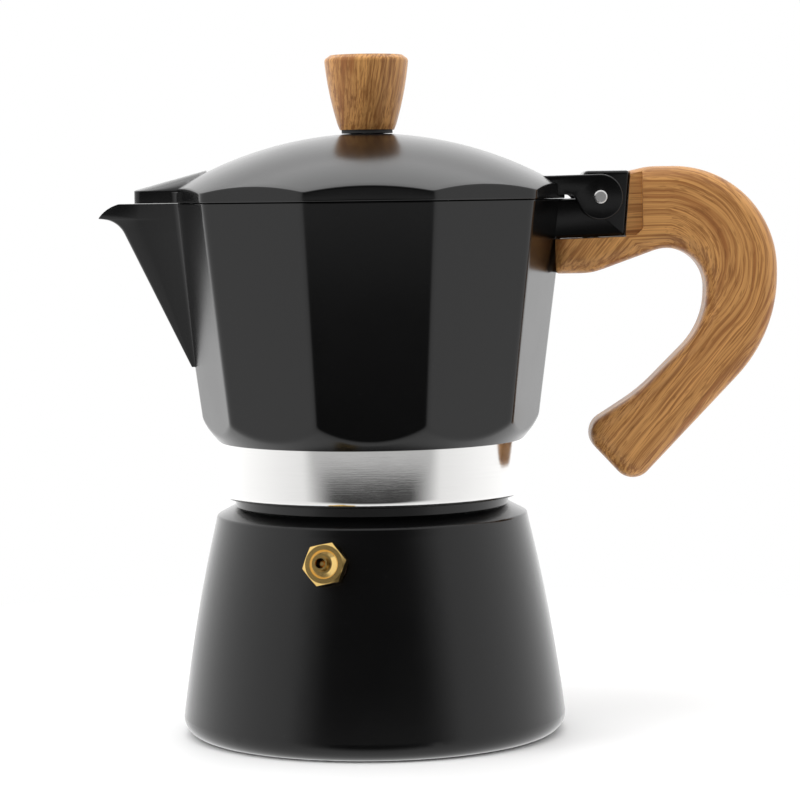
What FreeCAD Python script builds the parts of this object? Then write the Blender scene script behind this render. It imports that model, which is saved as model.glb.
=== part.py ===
"""Stove-top moka pot, as an assembly of separate pieces. Millimetres.

The origin is the centre of the boiler's foot. +Z is up, the handle points
along +X, the spout along -X, and the safety valve is near the -Y side.
"""
import FreeCAD, Part
import math
import os
import Sketcher

SIZES = {
    "boiler": {
        "foot_radius": 41.2,
        "foot_round": 4.0,
        "side_low_radius": 45.3,
        "side_low_height": 4.4,
        "side_top_radius": 37.1,
        "side_top_height": 50.0,
        "side_curve": 416.0,
        "shoulder_radius": 36.7,
        "shoulder_height": 51.9,
        "boiler_wall": 3.0,
        "floor_thickness": 3.6,
        "neck_radius": 32.3,
        "neck_start": 54.2,
        "neck_bore": 29.6,
        "rim_height": 65.0,
    },
    "thread": {
        "thread_pitch": 3.0,
        "ridge_depth": 1.1,
        "ridge_base": 0.85,
        "ridge_crest": 0.3,
        "ridge_start": 57.6,
        "ridge_length": 5.4,
        "thread_play": 0.2,
        "groove_start": 54.6,
        "groove_length": 9.6,
    },
    "valve": {
        "valve_angle": 15.5,
        "valve_tilt": 11.4,
        "valve_height": 43.9,
        "valve_wall_radius": 38.5,
        "spot_depth": 0.4,
        "washer_radius": 4.4,
        "washer_thickness": 0.7,
        "hexagon_flats": 9.0,
        "hexagon_thickness": 3.0,
        "hexagon_chamfer": 0.55,
        "hexagon_turn": 12.0,
        "cone_radius": 3.3,
        "cone_height": 1.5,
        "boss_radius": 1.75,
        "boss_height": 1.5,
        "outlet_radius": 1.17,
        "shank_radius": 3.1,
        "shank_length": 7.2,
        "valve_bore": 2.2,
        "seat_thickness": 1.3,
        "seat_hole": 1.0,
        "plunger_head": 1.9,
        "plunger_head_length": 1.2,
        "plunger_stem": 0.75,
        "plunger_length": 10.6,
        "spring_wire": 0.2,
        "spring_radius": 1.5,
        "spring_pitch": 0.95,
        "spring_length": 5.6,
    },
    "funnel": {
        "flange_radius": 31.4,
        "flange_thickness": 0.8,
        "basket_radius": 29.2,
        "sheet_thickness": 0.8,
        "basket_floor": 46.8,
        "tube_radius": 4.6,
        "cone_foot": 38.0,
        "tube_foot": 7.0,
        "screen_radius": 28.2,
        "screen_thickness": 0.6,
        "screen_hole": 0.8,
    },
    "seal": {
        "gasket_radius": 32.2,
        "gasket_thickness": 3.0,
        "gasket_lip": 26.8,
        "gasket_groove": 28.2,
        "plate_radius": 28.0,
        "plate_thickness": 0.7,
        "plate_lift": 0.9,
        "plate_hole": 0.8,
    },
    "collector": {
        "band_radius": 35.85,
        "band_foot": 56.25,
        "band_round": 1.8,
        "band_top": 70.4,
        "thread_bore": 32.75,
        "body_foot": 69.0,
        "body_foot_corner": 39.2,
        "body_top": 125.6,
        "body_top_corner": 46.67,
        "body_wall": 2.6,
        "chamfer_foot_radius": 35.9,
        "chamfer_foot": 69.4,
        "chamfer_top_radius": 40.3,
        "chamfer_top": 75.4,
        "chamfer_curve": 30.0,
        "chamber_floor": 74.0,
        "column_foot": 8.6,
        "column_top": 5.8,
        "column_height": 113.0,
        "riser_top": 3.2,
        "outlet_bore": 2.0,
        "outlet_height": 108.5,
    },
    "spout": {
        "spout_foot": 87.0,
        "spout_foot_reach": 42.2,
        "spout_foot_half": 2.4,
        "spout_knee": 115.3,
        "spout_knee_reach": 56.3,
        "spout_knee_half": 7.0,
        "spout_neck": 120.4,
        "spout_neck_reach": 59.4,
        "spout_neck_half": 8.2,
        "spout_lip": 122.2,
        "spout_reach": 63.5,
        "spout_half": 8.6,
        "spout_nose_half": 1.5,
        "spout_wall": 1.6,
        "spout_root": 38.0,
        "mouth_start": 58.6,
        "mouth_curve": 9.2,
    },
    "lug": {
        "lug_half": 5.8,
        "lug_root": 41.5,
        "lug_foot": 116.2,
        "lug_foot_end": 60.0,
        "lug_top": 132.0,
        "lug_top_end": 61.3,
        "lug_front": 50.4,
        "pin_reach": 54.2,
        "pin_height": 125.9,
        "pin_radius": 1.25,
        "pin_play": 0.05,
        "pin_head": 1.55,
        "pin_head_height": 0.45,
    },
    "lid": {
        "lid_foot": 125.95,
        "lid_corner": 47.1,
        "dome_top": 141.5,
        "dome_curve": 87.5,
        "dome_edge": 48.5,
        "lid_wall": 1.8,
        "lid_hollow": 42.0,
        "cover_reach": 54.6,
        "cover_root": 38.0,
        "cover_half": 8.0,
        "cover_tip_height": 128.85,
        "cover_ridge_height": 133.3,
        "ear_thickness": 2.6,
        "ear_play": 0.35,
        "ear_foot": 126.5,
        "ear_root": 38.0,
        "ear_radius": 5.3,
        "lid_relief": 8.0,
        "lid_boss_foot": 136.2,
        "lid_boss_radius": 4.0,
    },
    "knob": {
        "knob_foot": 142.3,
        "knob_foot_radius": 6.4,
        "knob_neck_radius": 6.9,
        "knob_top_radius": 9.9,
        "knob_side_top": 158.8,
        "knob_curve": 78.0,
        "knob_crown": 160.0,
        "knob_bore": 2.5,
        "knob_bore_depth": 10.0,
        "spacer_radius": 6.0,
        "insert_length": 8.0,
        "knob_screw_radius": 1.5,
        "knob_screw_head": 3.0,
    },
    "handle": {
        "handle_half": 7.8,
        "handle_round": 4.4,
        "butt_round": 4.8,
        "bow_round": 24.4,
        "inside_round": 9.2,
        "grip_width": 16.8,
        "bow_drop": 39.6,
        "leg_back": 34.4,
        "leg_drop": 75.4,
        "butt_back": 46.9,
        "butt_drop": 61.9,
        "heel_back": 32.5,
        "heel_drop": 52.7,
        "inner_drop": 37.0,
        "inner_top": 15.4,
        "crotch_back": 43.6,
        "handle_reach": 96.0,
        "handle_top": 132.9,
        "tongue_end": 42.6,
        "tongue_foot": 108.0,
        "handle_gap": 0.2,
        "recess_end": 64.2,
        "screw_reach": 52.4,
        "screw_radius": 2.0,
        "screw_head_radius": 3.6,
        "screw_head_height": 2.4,
        "screw_depth": 12.0,
        "screw_washer_radius": 4.2,
        "screw_washer_thickness": 0.8,
        "screw_well": 4.6,
        "screw_well_depth": 4.2,
    },
}

SIDES = 10
HALF_SIDE = math.pi / SIDES
FIT = 0.1

doc = FreeCAD.newDocument("moka_pot")
sheet = doc.addObject("Spreadsheet::Sheet", "sheet")


class Size:
    """A number together with the sheet expression that gives it."""

    def __init__(self, value, text):
        self.value = float(value)
        self.text = text

    def _join(self, other, sign, value):
        return Size(value, "(%s %s %s)" % (self.text, sign, as_size(other).text))

    def __add__(self, other):
        return self._join(other, "+", self.value + as_size(other).value)

    def __sub__(self, other):
        return self._join(other, "-", self.value - as_size(other).value)

    def __mul__(self, other):
        return self._join(other, "*", self.value * as_size(other).value)

    def __truediv__(self, other):
        return self._join(other, "/", self.value / as_size(other).value)

    def __neg__(self):
        return Size(-self.value, "(-%s)" % self.text)


def as_size(value):
    return value if isinstance(value, Size) else Size(value, "%.9g" % value)


class Sizes:
    """The driving dimensions by name, such as d.foot_radius."""


d = Sizes()
THROUGH = as_size(70)


def fill_sheet():
    row = 1
    for group, entries in SIZES.items():
        sheet.set("A%d" % row, group)
        row += 1
        for name, value in entries.items():
            sheet.set("A%d" % row, name)
            sheet.set("B%d" % row, "%.9g" % value)
            sheet.setAlias("B%d" % row, name)
            setattr(d, name, Size(value, "sheet.%s" % name))
            row += 1
    doc.recompute()


# ---------------------------------------------------------------- tools

def bind(thing, prop, size):
    thing.setExpression(prop, as_size(size).text)


def new_body(label):
    body = doc.addObject("PartDesign::Body", label)
    body.Label = label
    return body


def origin_part(body, role):
    return [part for part in body.Origin.OriginFeatures if part.Role == role][0]


def new_sketch(body, role="XZ_Plane", lift=None):
    sketch = body.newObject("Sketcher::SketchObject", body.Label + "_sketch")
    sketch.AttachmentSupport = (origin_part(body, role), [""])
    sketch.MapMode = "FlatFace"
    if lift is not None:
        lift = as_size(lift)
        sketch.AttachmentOffset = FreeCAD.Placement(FreeCAD.Vector(0, 0, lift.value), FreeCAD.Rotation())
        bind(sketch, "AttachmentOffset.Base.z", lift)
    return sketch


def fix_distance(sketch, kind, geo, pos, size, axis):
    """Hold one coordinate of a point at a sheet value, or on the axis where it is nought."""
    if abs(size.value) < 1e-9:
        sketch.addConstraint(Sketcher.Constraint("PointOnObject", geo, pos, axis))
        return
    if size.value > 0:
        index = sketch.addConstraint(Sketcher.Constraint(kind, -1, 1, geo, pos, size.value))
    else:
        size = -size
        index = sketch.addConstraint(Sketcher.Constraint(kind, geo, pos, -1, 1, size.value))
    bind(sketch, "Constraints[%d]" % index, size)


def arc_middle(start, end, radius):
    """The middle of the short arc between two points; it bulges to the right of the way walked."""
    chord = end - start
    half = chord.Length / 2
    side = FreeCAD.Vector(chord.y, -chord.x, 0).normalize()
    rise = abs(radius) - math.sqrt(radius * radius - half * half)
    return (start + end) * 0.5 + side * (rise if radius > 0 else -rise)


def draw(sketch, points):
    """A closed outline. A point is (x, y) or (x, y, r), where r rounds the stretch to the next."""
    spots = [FreeCAD.Vector(as_size(p[0]).value, as_size(p[1]).value, 0) for p in points]
    ends = []
    for index, point in enumerate(points):
        start, end = spots[index], spots[(index + 1) % len(spots)]
        if len(point) > 2:
            radius = as_size(point[2])
            geo = sketch.addGeometry(Part.Arc(start, arc_middle(start, end, radius.value), end), False)
            limit = sketch.addConstraint(Sketcher.Constraint("Radius", geo, abs(radius.value)))
            bind(sketch, "Constraints[%d]" % limit, radius if radius.value > 0 else -radius)
        else:
            geo = sketch.addGeometry(Part.LineSegment(start, end), False)
        first = 1 if (sketch.getPoint(geo, 1) - start).Length < 1e-5 else 2
        ends.append((geo, first, 3 - first))
    for index, point in enumerate(points):
        geo, first, _ = ends[index]
        before, _, last = ends[index - 1]
        sketch.addConstraint(Sketcher.Constraint("Coincident", before, last, geo, first))
        fix_distance(sketch, "DistanceX", geo, first, as_size(point[0]), -2)
        fix_distance(sketch, "DistanceY", geo, first, as_size(point[1]), -1)


def circle(sketch, radius, x=0.0, y=0.0):
    x, y, radius = as_size(x), as_size(y), as_size(radius)
    centre = FreeCAD.Vector(x.value, y.value, 0)
    geo = sketch.addGeometry(Part.Circle(centre, FreeCAD.Vector(0, 0, 1), radius.value), False)
    limit = sketch.addConstraint(Sketcher.Constraint("Radius", geo, radius.value))
    bind(sketch, "Constraints[%d]" % limit, radius)
    fix_distance(sketch, "DistanceX", geo, 3, x, -2)
    fix_distance(sketch, "DistanceY", geo, 3, y, -1)


def rectangle(sketch, x_low, y_low, x_high, y_high):
    draw(sketch, [(x_low, y_low), (x_high, y_low), (x_high, y_high), (x_low, y_high)])


def polygon(sketch, corner, sides=SIDES, turn=0.0):
    """A regular polygon with a corner on +X, turned by some degrees."""
    points = []
    for index in range(sides):
        angle = 2 * math.pi * index / sides + math.radians(turn)
        across, along = math.cos(angle), math.sin(angle)
        points.append((corner * clean(across), corner * clean(along)))
    draw(sketch, points)


def clean(number):
    return 0.0 if abs(number) < 1e-9 else round(number, 9)


def feature(body, kind, sketch):
    item = body.newObject("PartDesign::" + kind, body.Label + "_" + kind.lower())
    item.Profile = sketch
    sketch.Visibility = False
    return item


def revolve(body, points, kind="Revolution"):
    sketch = new_sketch(body)
    draw(sketch, points)
    item = feature(body, kind, sketch)
    item.ReferenceAxis = (origin_part(body, "Z_Axis"), [""])
    item.Angle = 360
    return item


def extrude(body, sketch, length, kind="Pad", middle=False, back=False):
    item = feature(body, kind, sketch)
    bind(item, "Length", length)
    if middle:
        item.SideType = "Symmetric"
    item.Reversed = back
    return item


def loft(body, sketches, kind="AdditiveLoft", ruled=True):
    item = feature(body, kind, sketches[0])
    item.Sections = sketches[1:]
    item.Ruled = ruled
    return item


def round_edges(body, wanted, size, kind="Fillet"):
    """Round the edges of the body's tip for which wanted(edge) holds."""
    doc.recompute()
    base = body.Tip
    names = ["Edge%d" % (n + 1) for n, edge in enumerate(base.Shape.Edges) if wanted(edge)]
    if not names:
        raise RuntimeError(body.Label + ": no edge to round")
    item = body.newObject("PartDesign::" + kind, body.Label + "_" + kind.lower())
    item.Base = (base, names)
    bind(item, "Radius" if kind == "Fillet" else "Size", size)
    base.Visibility = False
    return item


def ring_at(radius, height, slack=0.02):
    """A test for a full circle about Z of this radius at this height."""
    def test(edge):
        curve = edge.Curve
        if not isinstance(curve, Part.Circle):
            return False
        centre = curve.Center
        off = math.hypot(centre.x, centre.y)
        near = abs(curve.Radius - radius.value) < slack and abs(centre.z - height.value) < slack
        return near and off < slack
    return test


def cutting(body, make):
    """Make a cut and be sure that it took something away."""
    doc.recompute()
    before = body.Shape.Volume
    item = make()
    doc.recompute()
    if not body.Shape.Volume < before - 1e-3:
        raise RuntimeError("%s: %s cuts nothing" % (body.Label, item.Name))
    return item


def holes_in_rings(body, hole, rings, spacing, depth, lift):
    """Round holes in rings about Z, each ring a patterned pocket."""
    centre = new_sketch(body, "XY_Plane", lift)
    circle(centre, hole)
    cutting(body, lambda: extrude(body, centre, depth, "Pocket", middle=True))
    for ring in range(1, rings + 1):
        sketch = new_sketch(body, "XY_Plane", lift)
        circle(sketch, hole, as_size(spacing * ring))
        pocket = cutting(body, lambda: extrude(body, sketch, depth, "Pocket", middle=True))
        pattern = body.newObject("PartDesign::PolarPattern", body.Label + "_ring")
        pattern.Originals = [pocket]
        pattern.Axis = (origin_part(body, "Z_Axis"), [""])
        pattern.Angle = 360
        pattern.Occurrences = 6 * ring
        body.Tip = pattern


# ---------------------------------------------------------------- boiler

def helix_band(body, kind, start, length, outer, inner, base, crest):
    """A screw ridge or groove: a trapezium carried up a helix about Z."""
    sketch = new_sketch(body)
    draw(sketch, [
        (inner, start - base), (outer, start - crest),
        (outer, start + crest), (inner, start + base),
    ])
    item = feature(body, kind, sketch)
    item.ReferenceAxis = (origin_part(body, "Z_Axis"), [""])
    item.Mode = "pitch-height-angle"
    bind(item, "Pitch", d.thread_pitch)
    bind(item, "Height", length)
    return item


def valve_placement():
    """The valve's own frame: its foot on the wall and its +Z along the wall's outward normal."""
    turn = math.radians(d.valve_angle.value)
    tilt = math.radians(d.valve_tilt.value)
    out = FreeCAD.Vector(-math.sin(turn) * math.cos(tilt), -math.cos(turn) * math.cos(tilt), math.sin(tilt))
    foot = FreeCAD.Vector(-math.sin(turn), -math.cos(turn), 0) * d.valve_wall_radius.value
    foot.z = d.valve_height.value
    side = FreeCAD.Vector(0, 0, 1).cross(out).normalize()
    spin = FreeCAD.Rotation(side, out.cross(side), out, "ZXY")
    return FreeCAD.Placement(foot, spin)


def make_boiler():
    body = new_body("boiler")
    wall = d.boiler_wall
    revolve(body, [
        (0, 0), (d.foot_radius, 0, d.foot_round * 1.06),
        (d.side_low_radius, d.side_low_height, d.side_curve),
        (d.side_top_radius, d.side_top_height), (d.shoulder_radius, d.shoulder_height),
        (d.neck_radius, d.neck_start), (d.neck_radius, d.rim_height),
        (d.neck_bore, d.rim_height), (d.neck_bore, d.neck_start - wall),
        (d.side_top_radius - wall, d.side_top_height - wall),
        (d.side_low_radius - wall, d.side_low_height + wall),
        (d.foot_radius - wall, d.floor_thickness), (0, d.floor_thickness),
    ])
    round_edges(body, ring_at(d.shoulder_radius, d.shoulder_height), as_size(0.7))
    helix_band(
        body, "AdditiveHelix", d.ridge_start, d.ridge_length,
        d.neck_radius + d.ridge_depth, d.neck_radius - 0.1, d.ridge_base, d.ridge_crest,
    )
    return body


def drill_boiler(boiler):
    """The valve's hole and the flat spot that its washer sits on."""
    cutter = doc.addObject("Part::Cylinder", "valve_hole")
    bind(cutter, "Radius", d.shank_radius + 0.02)
    cutter.Height = 16
    sink = FreeCAD.Placement(FreeCAD.Vector(0, 0, -8), FreeCAD.Rotation())
    cutter.Placement = valve_placement().multiply(sink)
    spot = doc.addObject("Part::Cylinder", "valve_spot")
    bind(spot, "Radius", d.washer_radius + 0.4)
    spot.Height = 4
    lift = FreeCAD.Placement(FreeCAD.Vector(0, 0, -d.spot_depth.value), FreeCAD.Rotation())
    spot.Placement = valve_placement().multiply(lift)
    tools = doc.addObject("Part::MultiFuse", "valve_tools")
    tools.Shapes = [cutter, spot]
    boiler.Label = "boiler_casting"
    cut = doc.addObject("Part::Cut", "boiler_drilled")
    cut.Base = boiler
    cut.Tool = tools
    cut.Label = "boiler"
    return cut


# ---------------------------------------------------------------- safety valve

def make_valve_body():
    body = new_body("valve_body")
    foot = d.washer_thickness - d.spot_depth
    face = foot + d.hexagon_thickness
    hexagon = new_sketch(body, "XY_Plane", foot)
    polygon(hexagon, d.hexagon_flats / math.sqrt(3), 6, d.hexagon_turn.value)
    extrude(body, hexagon, d.hexagon_thickness)
    corner = d.hexagon_flats / math.sqrt(3) + 0.1
    flat = d.hexagon_flats / 2
    for low, high in ((foot, foot + d.hexagon_chamfer), (face, face - d.hexagon_chamfer)):
        cutting(body, lambda: revolve(body, [
            (flat - 0.15, low), (corner + 1, low), (corner + 1, high), (corner, high),
        ], "Groove"))
    revolve(body, [
        (0, -d.shank_length), (d.shank_radius, -d.shank_length), (d.shank_radius, foot + 0.2),
        (d.cone_radius, face - 0.2), (d.cone_radius, face),
        (d.boss_radius + 0.6, face + d.cone_height), (d.boss_radius, face + d.cone_height),
        (d.boss_radius - 0.15, face + d.cone_height + d.boss_height),
        (0, face + d.cone_height + d.boss_height),
    ])
    shoulder = face - 0.4
    cutting(body, lambda: revolve(body, [
        (0, -d.shank_length), (d.valve_bore, -d.shank_length), (d.valve_bore, shoulder),
        (d.outlet_radius, shoulder + 0.6), (d.outlet_radius, face + d.cone_height + d.boss_height),
        (0, face + d.cone_height + d.boss_height),
    ], "Groove"))
    body.Placement = valve_placement()
    return body


def make_valve_washer():
    body = new_body("valve_washer")
    low = -d.spot_depth
    rectangle_revolved(body, d.shank_radius + 0.05, low, d.washer_radius, low + d.washer_thickness)
    body.Placement = valve_placement()
    return body


def rectangle_revolved(body, inner, low, outer, high):
    revolve(body, [(inner, low), (outer, low), (outer, high), (inner, high)])


def make_valve_seat():
    body = new_body("valve_seat")
    low = -d.shank_length
    rectangle_revolved(body, d.seat_hole, low, d.valve_bore, low + d.seat_thickness)
    body.Placement = valve_placement()
    return body


def make_valve_plunger():
    body = new_body("valve_plunger")
    low = -d.shank_length + d.seat_thickness + 0.02
    top = low + d.plunger_head_length
    revolve(body, [
        (0, low), (d.plunger_head - 0.3, low), (d.plunger_head, low + 0.3), (d.plunger_head, top),
        (d.plunger_stem, top), (d.plunger_stem, low + d.plunger_length - 0.3),
        (d.plunger_stem - 0.3, low + d.plunger_length), (0, low + d.plunger_length),
    ])
    body.Placement = valve_placement()
    return body


def make_valve_spring():
    path = doc.addObject("Part::Helix", "spring_path")
    bind(path, "Pitch", d.spring_pitch)
    bind(path, "Height", d.spring_length)
    bind(path, "Radius", d.spring_radius)
    wire = doc.addObject("Part::Circle", "spring_wire_section")
    bind(wire, "Radius", d.spring_wire)
    wire.Placement = FreeCAD.Placement(
        FreeCAD.Vector(d.spring_radius.value, 0, 0), FreeCAD.Rotation(FreeCAD.Vector(1, 0, 0), 90))
    doc.recompute()
    spring = doc.addObject("Part::Sweep", "valve_spring")
    spring.Sections = [wire]
    spring.Spine = (path, ["Edge1"])
    spring.Solid = True
    spring.Frenet = True
    spring.Label = "valve_spring"
    foot = -d.shank_length + d.seat_thickness + d.plunger_head_length + d.spring_wire + 0.1
    spring.Placement = valve_placement().multiply(
        FreeCAD.Placement(FreeCAD.Vector(0, 0, foot.value), FreeCAD.Rotation()))
    return spring


# ---------------------------------------------------------------- funnel and seal

def make_funnel():
    body = new_body("funnel")
    skin = d.sheet_thickness
    top = d.rim_height + d.flange_thickness
    inner = d.basket_radius - skin
    ledge = d.basket_radius - 2.6
    revolve(body, [
        (d.tube_radius, d.tube_foot), (d.tube_radius, d.cone_foot),
        (d.basket_radius, d.basket_floor - skin), (d.basket_radius, d.rim_height),
        (d.flange_radius, d.rim_height), (d.flange_radius, top), (inner, top),
        (inner, d.basket_floor), (ledge, d.basket_floor),
        (d.tube_radius - skin, d.cone_foot + skin * 0.8), (d.tube_radius - skin, d.tube_foot),
    ])
    return body


def make_funnel_screen():
    body = new_body("funnel_screen")
    low = d.basket_floor
    rectangle_revolved(body, as_size(0), low, d.screen_radius, low + d.screen_thickness)
    holes_in_rings(body, d.screen_hole, 5, 4.8, as_size(4), low + d.screen_thickness / 2)
    return body


def seal_floor():
    return d.rim_height + d.flange_thickness


def make_gasket():
    body = new_body("gasket")
    low = seal_floor()
    shelf = low + d.plate_lift
    top = low + d.gasket_thickness
    revolve(body, [
        (d.gasket_lip, low), (d.gasket_radius, low), (d.gasket_radius, top),
        (d.gasket_groove, top), (d.gasket_groove, shelf), (d.gasket_lip, shelf),
    ])
    return body


def make_filter_plate():
    body = new_body("filter_plate")
    low = seal_floor() + d.plate_lift
    rectangle_revolved(body, as_size(0), low, d.plate_radius, low + d.plate_thickness)
    holes_in_rings(body, d.plate_hole, 5, 4.6, as_size(4), low + d.plate_thickness / 2)
    return body


# ---------------------------------------------------------------- collector

def body_corner(height):
    """The outside's corner radius at a height: the sides lean straight outwards."""
    lean = (d.body_top_corner - d.body_foot_corner) / (d.body_top - d.body_foot)
    return d.body_foot_corner + lean * (height - d.body_foot)


def inner_corner(height):
    return body_corner(height) - d.body_wall / math.cos(HALF_SIDE)


def wedge(body, height, nose, half, blunt):
    """A spout section: a wedge whose nose, on -X, is flat by blunt on each side."""
    sketch = new_sketch(body, "XY_Plane", height)
    draw(sketch, [
        (-d.spout_root, half), (-nose, blunt), (-nose, -blunt), (-d.spout_root, -half),
    ])
    return sketch


def spout_sections(body, inset):
    """The spout's sections from its foot to the rim, drawn in by inset for the channel inside it."""
    nose = d.spout_nose_half - inset * 0.4
    rows = (
        (d.spout_foot + inset * 3, d.spout_foot_reach - inset, d.spout_foot_half - inset * 0.6, 0.35),
        (d.spout_knee, d.spout_knee_reach - inset * 1.7, d.spout_knee_half - inset, 0.8),
        (d.spout_neck + inset * 0.3, d.spout_neck_reach - inset * 1.4, d.spout_neck_half - inset, 1.0),
        (d.spout_lip + inset * 0.5, d.spout_reach + inset * 0.7, d.spout_half - inset, 1.0),
        (d.body_top + 1.5, d.spout_reach + inset * 1.5, d.spout_half - inset * 0.6, 1.0),
    )
    return [wedge(body, height, reach, half, nose * share) for height, reach, half, share in rows]


def add_spout(body):
    rings = spout_sections(body, as_size(0))
    loft(body, rings[:3])
    rings = spout_sections(body, as_size(0))
    loft(body, rings[2:])
    # the rim is flat as far as the mouth, where it falls in a round sweep to the lip's tip
    above = new_sketch(body)
    far, over = d.spout_reach + 10, d.body_top + 10
    draw(above, [
        (d.spout_root * -0.8, d.body_top), (-d.mouth_start, d.body_top, d.mouth_curve),
        (-d.spout_reach - 0.05, d.spout_lip + 0.05), (-far, d.spout_lip + 0.05), (-far, over),
        (d.spout_root * -0.8, over),
    ])
    cutting(body, lambda: extrude(body, above, THROUGH, "Pocket", middle=True))


def hollow_spout(body):
    for part in (slice(0, 3), slice(2, 5)):
        rings = spout_sections(body, d.spout_wall)[part]
        cutting(body, lambda: loft(body, rings, "SubtractiveLoft"))


def add_lug(body):
    sketch = new_sketch(body)
    draw(sketch, [
        (d.lug_root, d.lug_foot), (d.lug_foot_end, d.lug_foot + 0.5), (d.lug_top_end, d.lug_top),
        (d.lug_front, d.lug_top), (d.lug_front, d.lug_top - 3.5), (d.lug_front - 1.4, d.body_top),
        (d.lug_root, d.body_top),
    ])
    extrude(body, sketch, d.lug_half * 2, middle=True)


def drill_lug(body):
    pin = new_sketch(body)
    circle(pin, d.pin_radius, d.pin_reach, d.pin_height)
    cutting(body, lambda: extrude(body, pin, THROUGH, "Pocket", middle=True))
    screw = new_sketch(body, "XY_Plane", d.lug_foot - 1)
    circle(screw, d.screw_radius, d.screw_reach)
    cutting(body, lambda: extrude(body, screw, d.screw_depth - 2.5, "Pocket", back=True))


def make_collector():
    body = new_body("collector")
    foot = new_sketch(body, "XY_Plane", d.body_foot)
    polygon(foot, body_corner(d.body_foot))
    top = new_sketch(body, "XY_Plane", d.body_top)
    polygon(top, d.body_top_corner)
    loft(body, [foot, top])
    far = d.body_foot_corner + 10
    cutting(body, lambda: revolve(body, [
        (d.chamfer_foot_radius, d.body_foot - 1), (far, d.body_foot - 1), (far, d.chamfer_top),
        (d.chamfer_top_radius, d.chamfer_top, -d.chamfer_curve), (d.chamfer_foot_radius, d.chamfer_foot),
    ], "Groove"))
    add_spout(body)
    add_lug(body)
    revolve(body, [
        (0, d.band_foot), (d.band_radius, d.band_foot), (d.band_radius, d.band_top), (0, d.band_top),
    ])
    round_edges(body, ring_at(d.band_radius, d.band_foot), d.band_round)
    floor = new_sketch(body, "XY_Plane", d.chamber_floor)
    polygon(floor, inner_corner(d.chamber_floor))
    mouth = new_sketch(body, "XY_Plane", d.body_top + 8)
    polygon(mouth, inner_corner(d.body_top + 8))
    cutting(body, lambda: loft(body, [floor, mouth], "SubtractiveLoft"))
    hollow_spout(body)
    revolve(body, [
        (0, d.chamber_floor - 2), (d.column_foot + 5, d.chamber_floor - 2),
        (d.column_foot + 5, d.chamber_floor + 0.6), (d.column_foot, d.chamber_floor + 4),
        (d.column_top, d.column_height - 1), (d.column_top - 1, d.column_height), (0, d.column_height),
    ])
    ceiling = seal_floor() + d.gasket_thickness
    cutting(body, lambda: revolve(body, [
        (0, d.band_foot - 1), (d.thread_bore, d.band_foot - 1), (d.thread_bore, ceiling),
        (d.gasket_lip - 2, ceiling), (d.column_foot + 1, ceiling + 2.6), (d.column_foot - 3, ceiling + 7),
        (d.riser_top, d.column_height - 2.5), (0, d.column_height - 2.5),
    ], "Groove"))
    outlets = new_sketch(body)
    circle(outlets, d.outlet_bore, 0, d.outlet_height)
    cutting(body, lambda: extrude(body, outlets, d.column_foot * 2, "Pocket", middle=True))
    drill_lug(body)
    play = d.thread_play
    cutting(body, lambda: helix_band(
        body, "SubtractiveHelix", d.groove_start, d.groove_length,
        d.neck_radius + d.ridge_depth + play * 2, d.neck_radius + 0.2, d.ridge_base + play + 0.1,
        d.ridge_crest + play,
    ))
    return body


# ---------------------------------------------------------------- lid

def dome(radius, top, curve):
    """The height of the dome at a distance from the axis."""
    return top - (curve - math.sqrt(curve * curve - radius * radius))


def make_lid():
    body = new_body("lid")
    plan = new_sketch(body, "XY_Plane", d.lid_foot)
    polygon(plan, d.lid_corner)
    extrude(body, plan, d.dome_top - d.lid_foot + 1)
    edge = as_size(dome(d.dome_edge.value, d.dome_top.value, d.dome_curve.value))
    far, over = d.dome_edge + 10, d.dome_top + 3
    cutting(body, lambda: revolve(body, [
        (d.dome_edge, edge, d.dome_curve), (0, d.dome_top), (0, over), (far, over), (far, edge),
    ], "Groove"))
    # the cover over the spout
    cover = new_sketch(body)
    draw(cover, [
        (-d.cover_root, d.lid_foot), (-d.cover_reach, d.lid_foot), (-d.cover_reach, d.cover_tip_height),
        (-d.cover_root, d.cover_ridge_height),
    ])
    extrude(body, cover, d.cover_half * 2, middle=True)
    # the two hinge ears
    reach, height = d.pin_reach, d.pin_height
    ears = new_sketch(body)
    draw(ears, [
        (d.ear_root, d.ear_foot), (d.pin_reach - 8, d.ear_foot),
        (reach, height - d.ear_radius, d.ear_radius),
        (reach + d.ear_radius, height, d.ear_radius), (reach, height + d.ear_radius),
        (d.ear_root, height + d.ear_radius),
    ])
    extrude(body, ears, (d.lug_half + d.ear_play + d.ear_thickness) * 2, middle=True)
    # the space for the lug between the ears
    gap = new_sketch(body)
    rectangle(gap, reach - d.lid_relief, height - d.lid_relief, reach + d.lid_relief, d.dome_top + 2)
    cutting(body, lambda: extrude(body, gap, (d.lug_half + d.ear_play) * 2, "Pocket", middle=True))
    hole = new_sketch(body)
    circle(hole, d.pin_radius + d.pin_play, reach, height)
    cutting(body, lambda: extrude(body, hole, THROUGH, "Pocket", middle=True))
    roof = as_size(dome(d.lid_hollow.value, d.dome_top.value - d.lid_wall.value, d.dome_curve.value))
    cutting(body, lambda: revolve(body, [
        (0, d.lid_foot - 1), (d.lid_hollow, d.lid_foot - 1), (d.lid_hollow, roof, d.dome_curve),
        (0, d.dome_top - d.lid_wall),
    ], "Groove"))
    revolve(body, [
        (0, d.lid_boss_foot), (d.lid_boss_radius, d.lid_boss_foot),
        (d.lid_boss_radius + 0.6, d.dome_top - 1), (0, d.dome_top - 1),
    ])
    bore = new_sketch(body, "XY_Plane", d.dome_top + 1)
    circle(bore, d.knob_screw_radius + FIT)
    cutting(body, lambda: extrude(body, bore, d.dome_top - d.lid_boss_foot + 3, "Pocket"))
    return body


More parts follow.
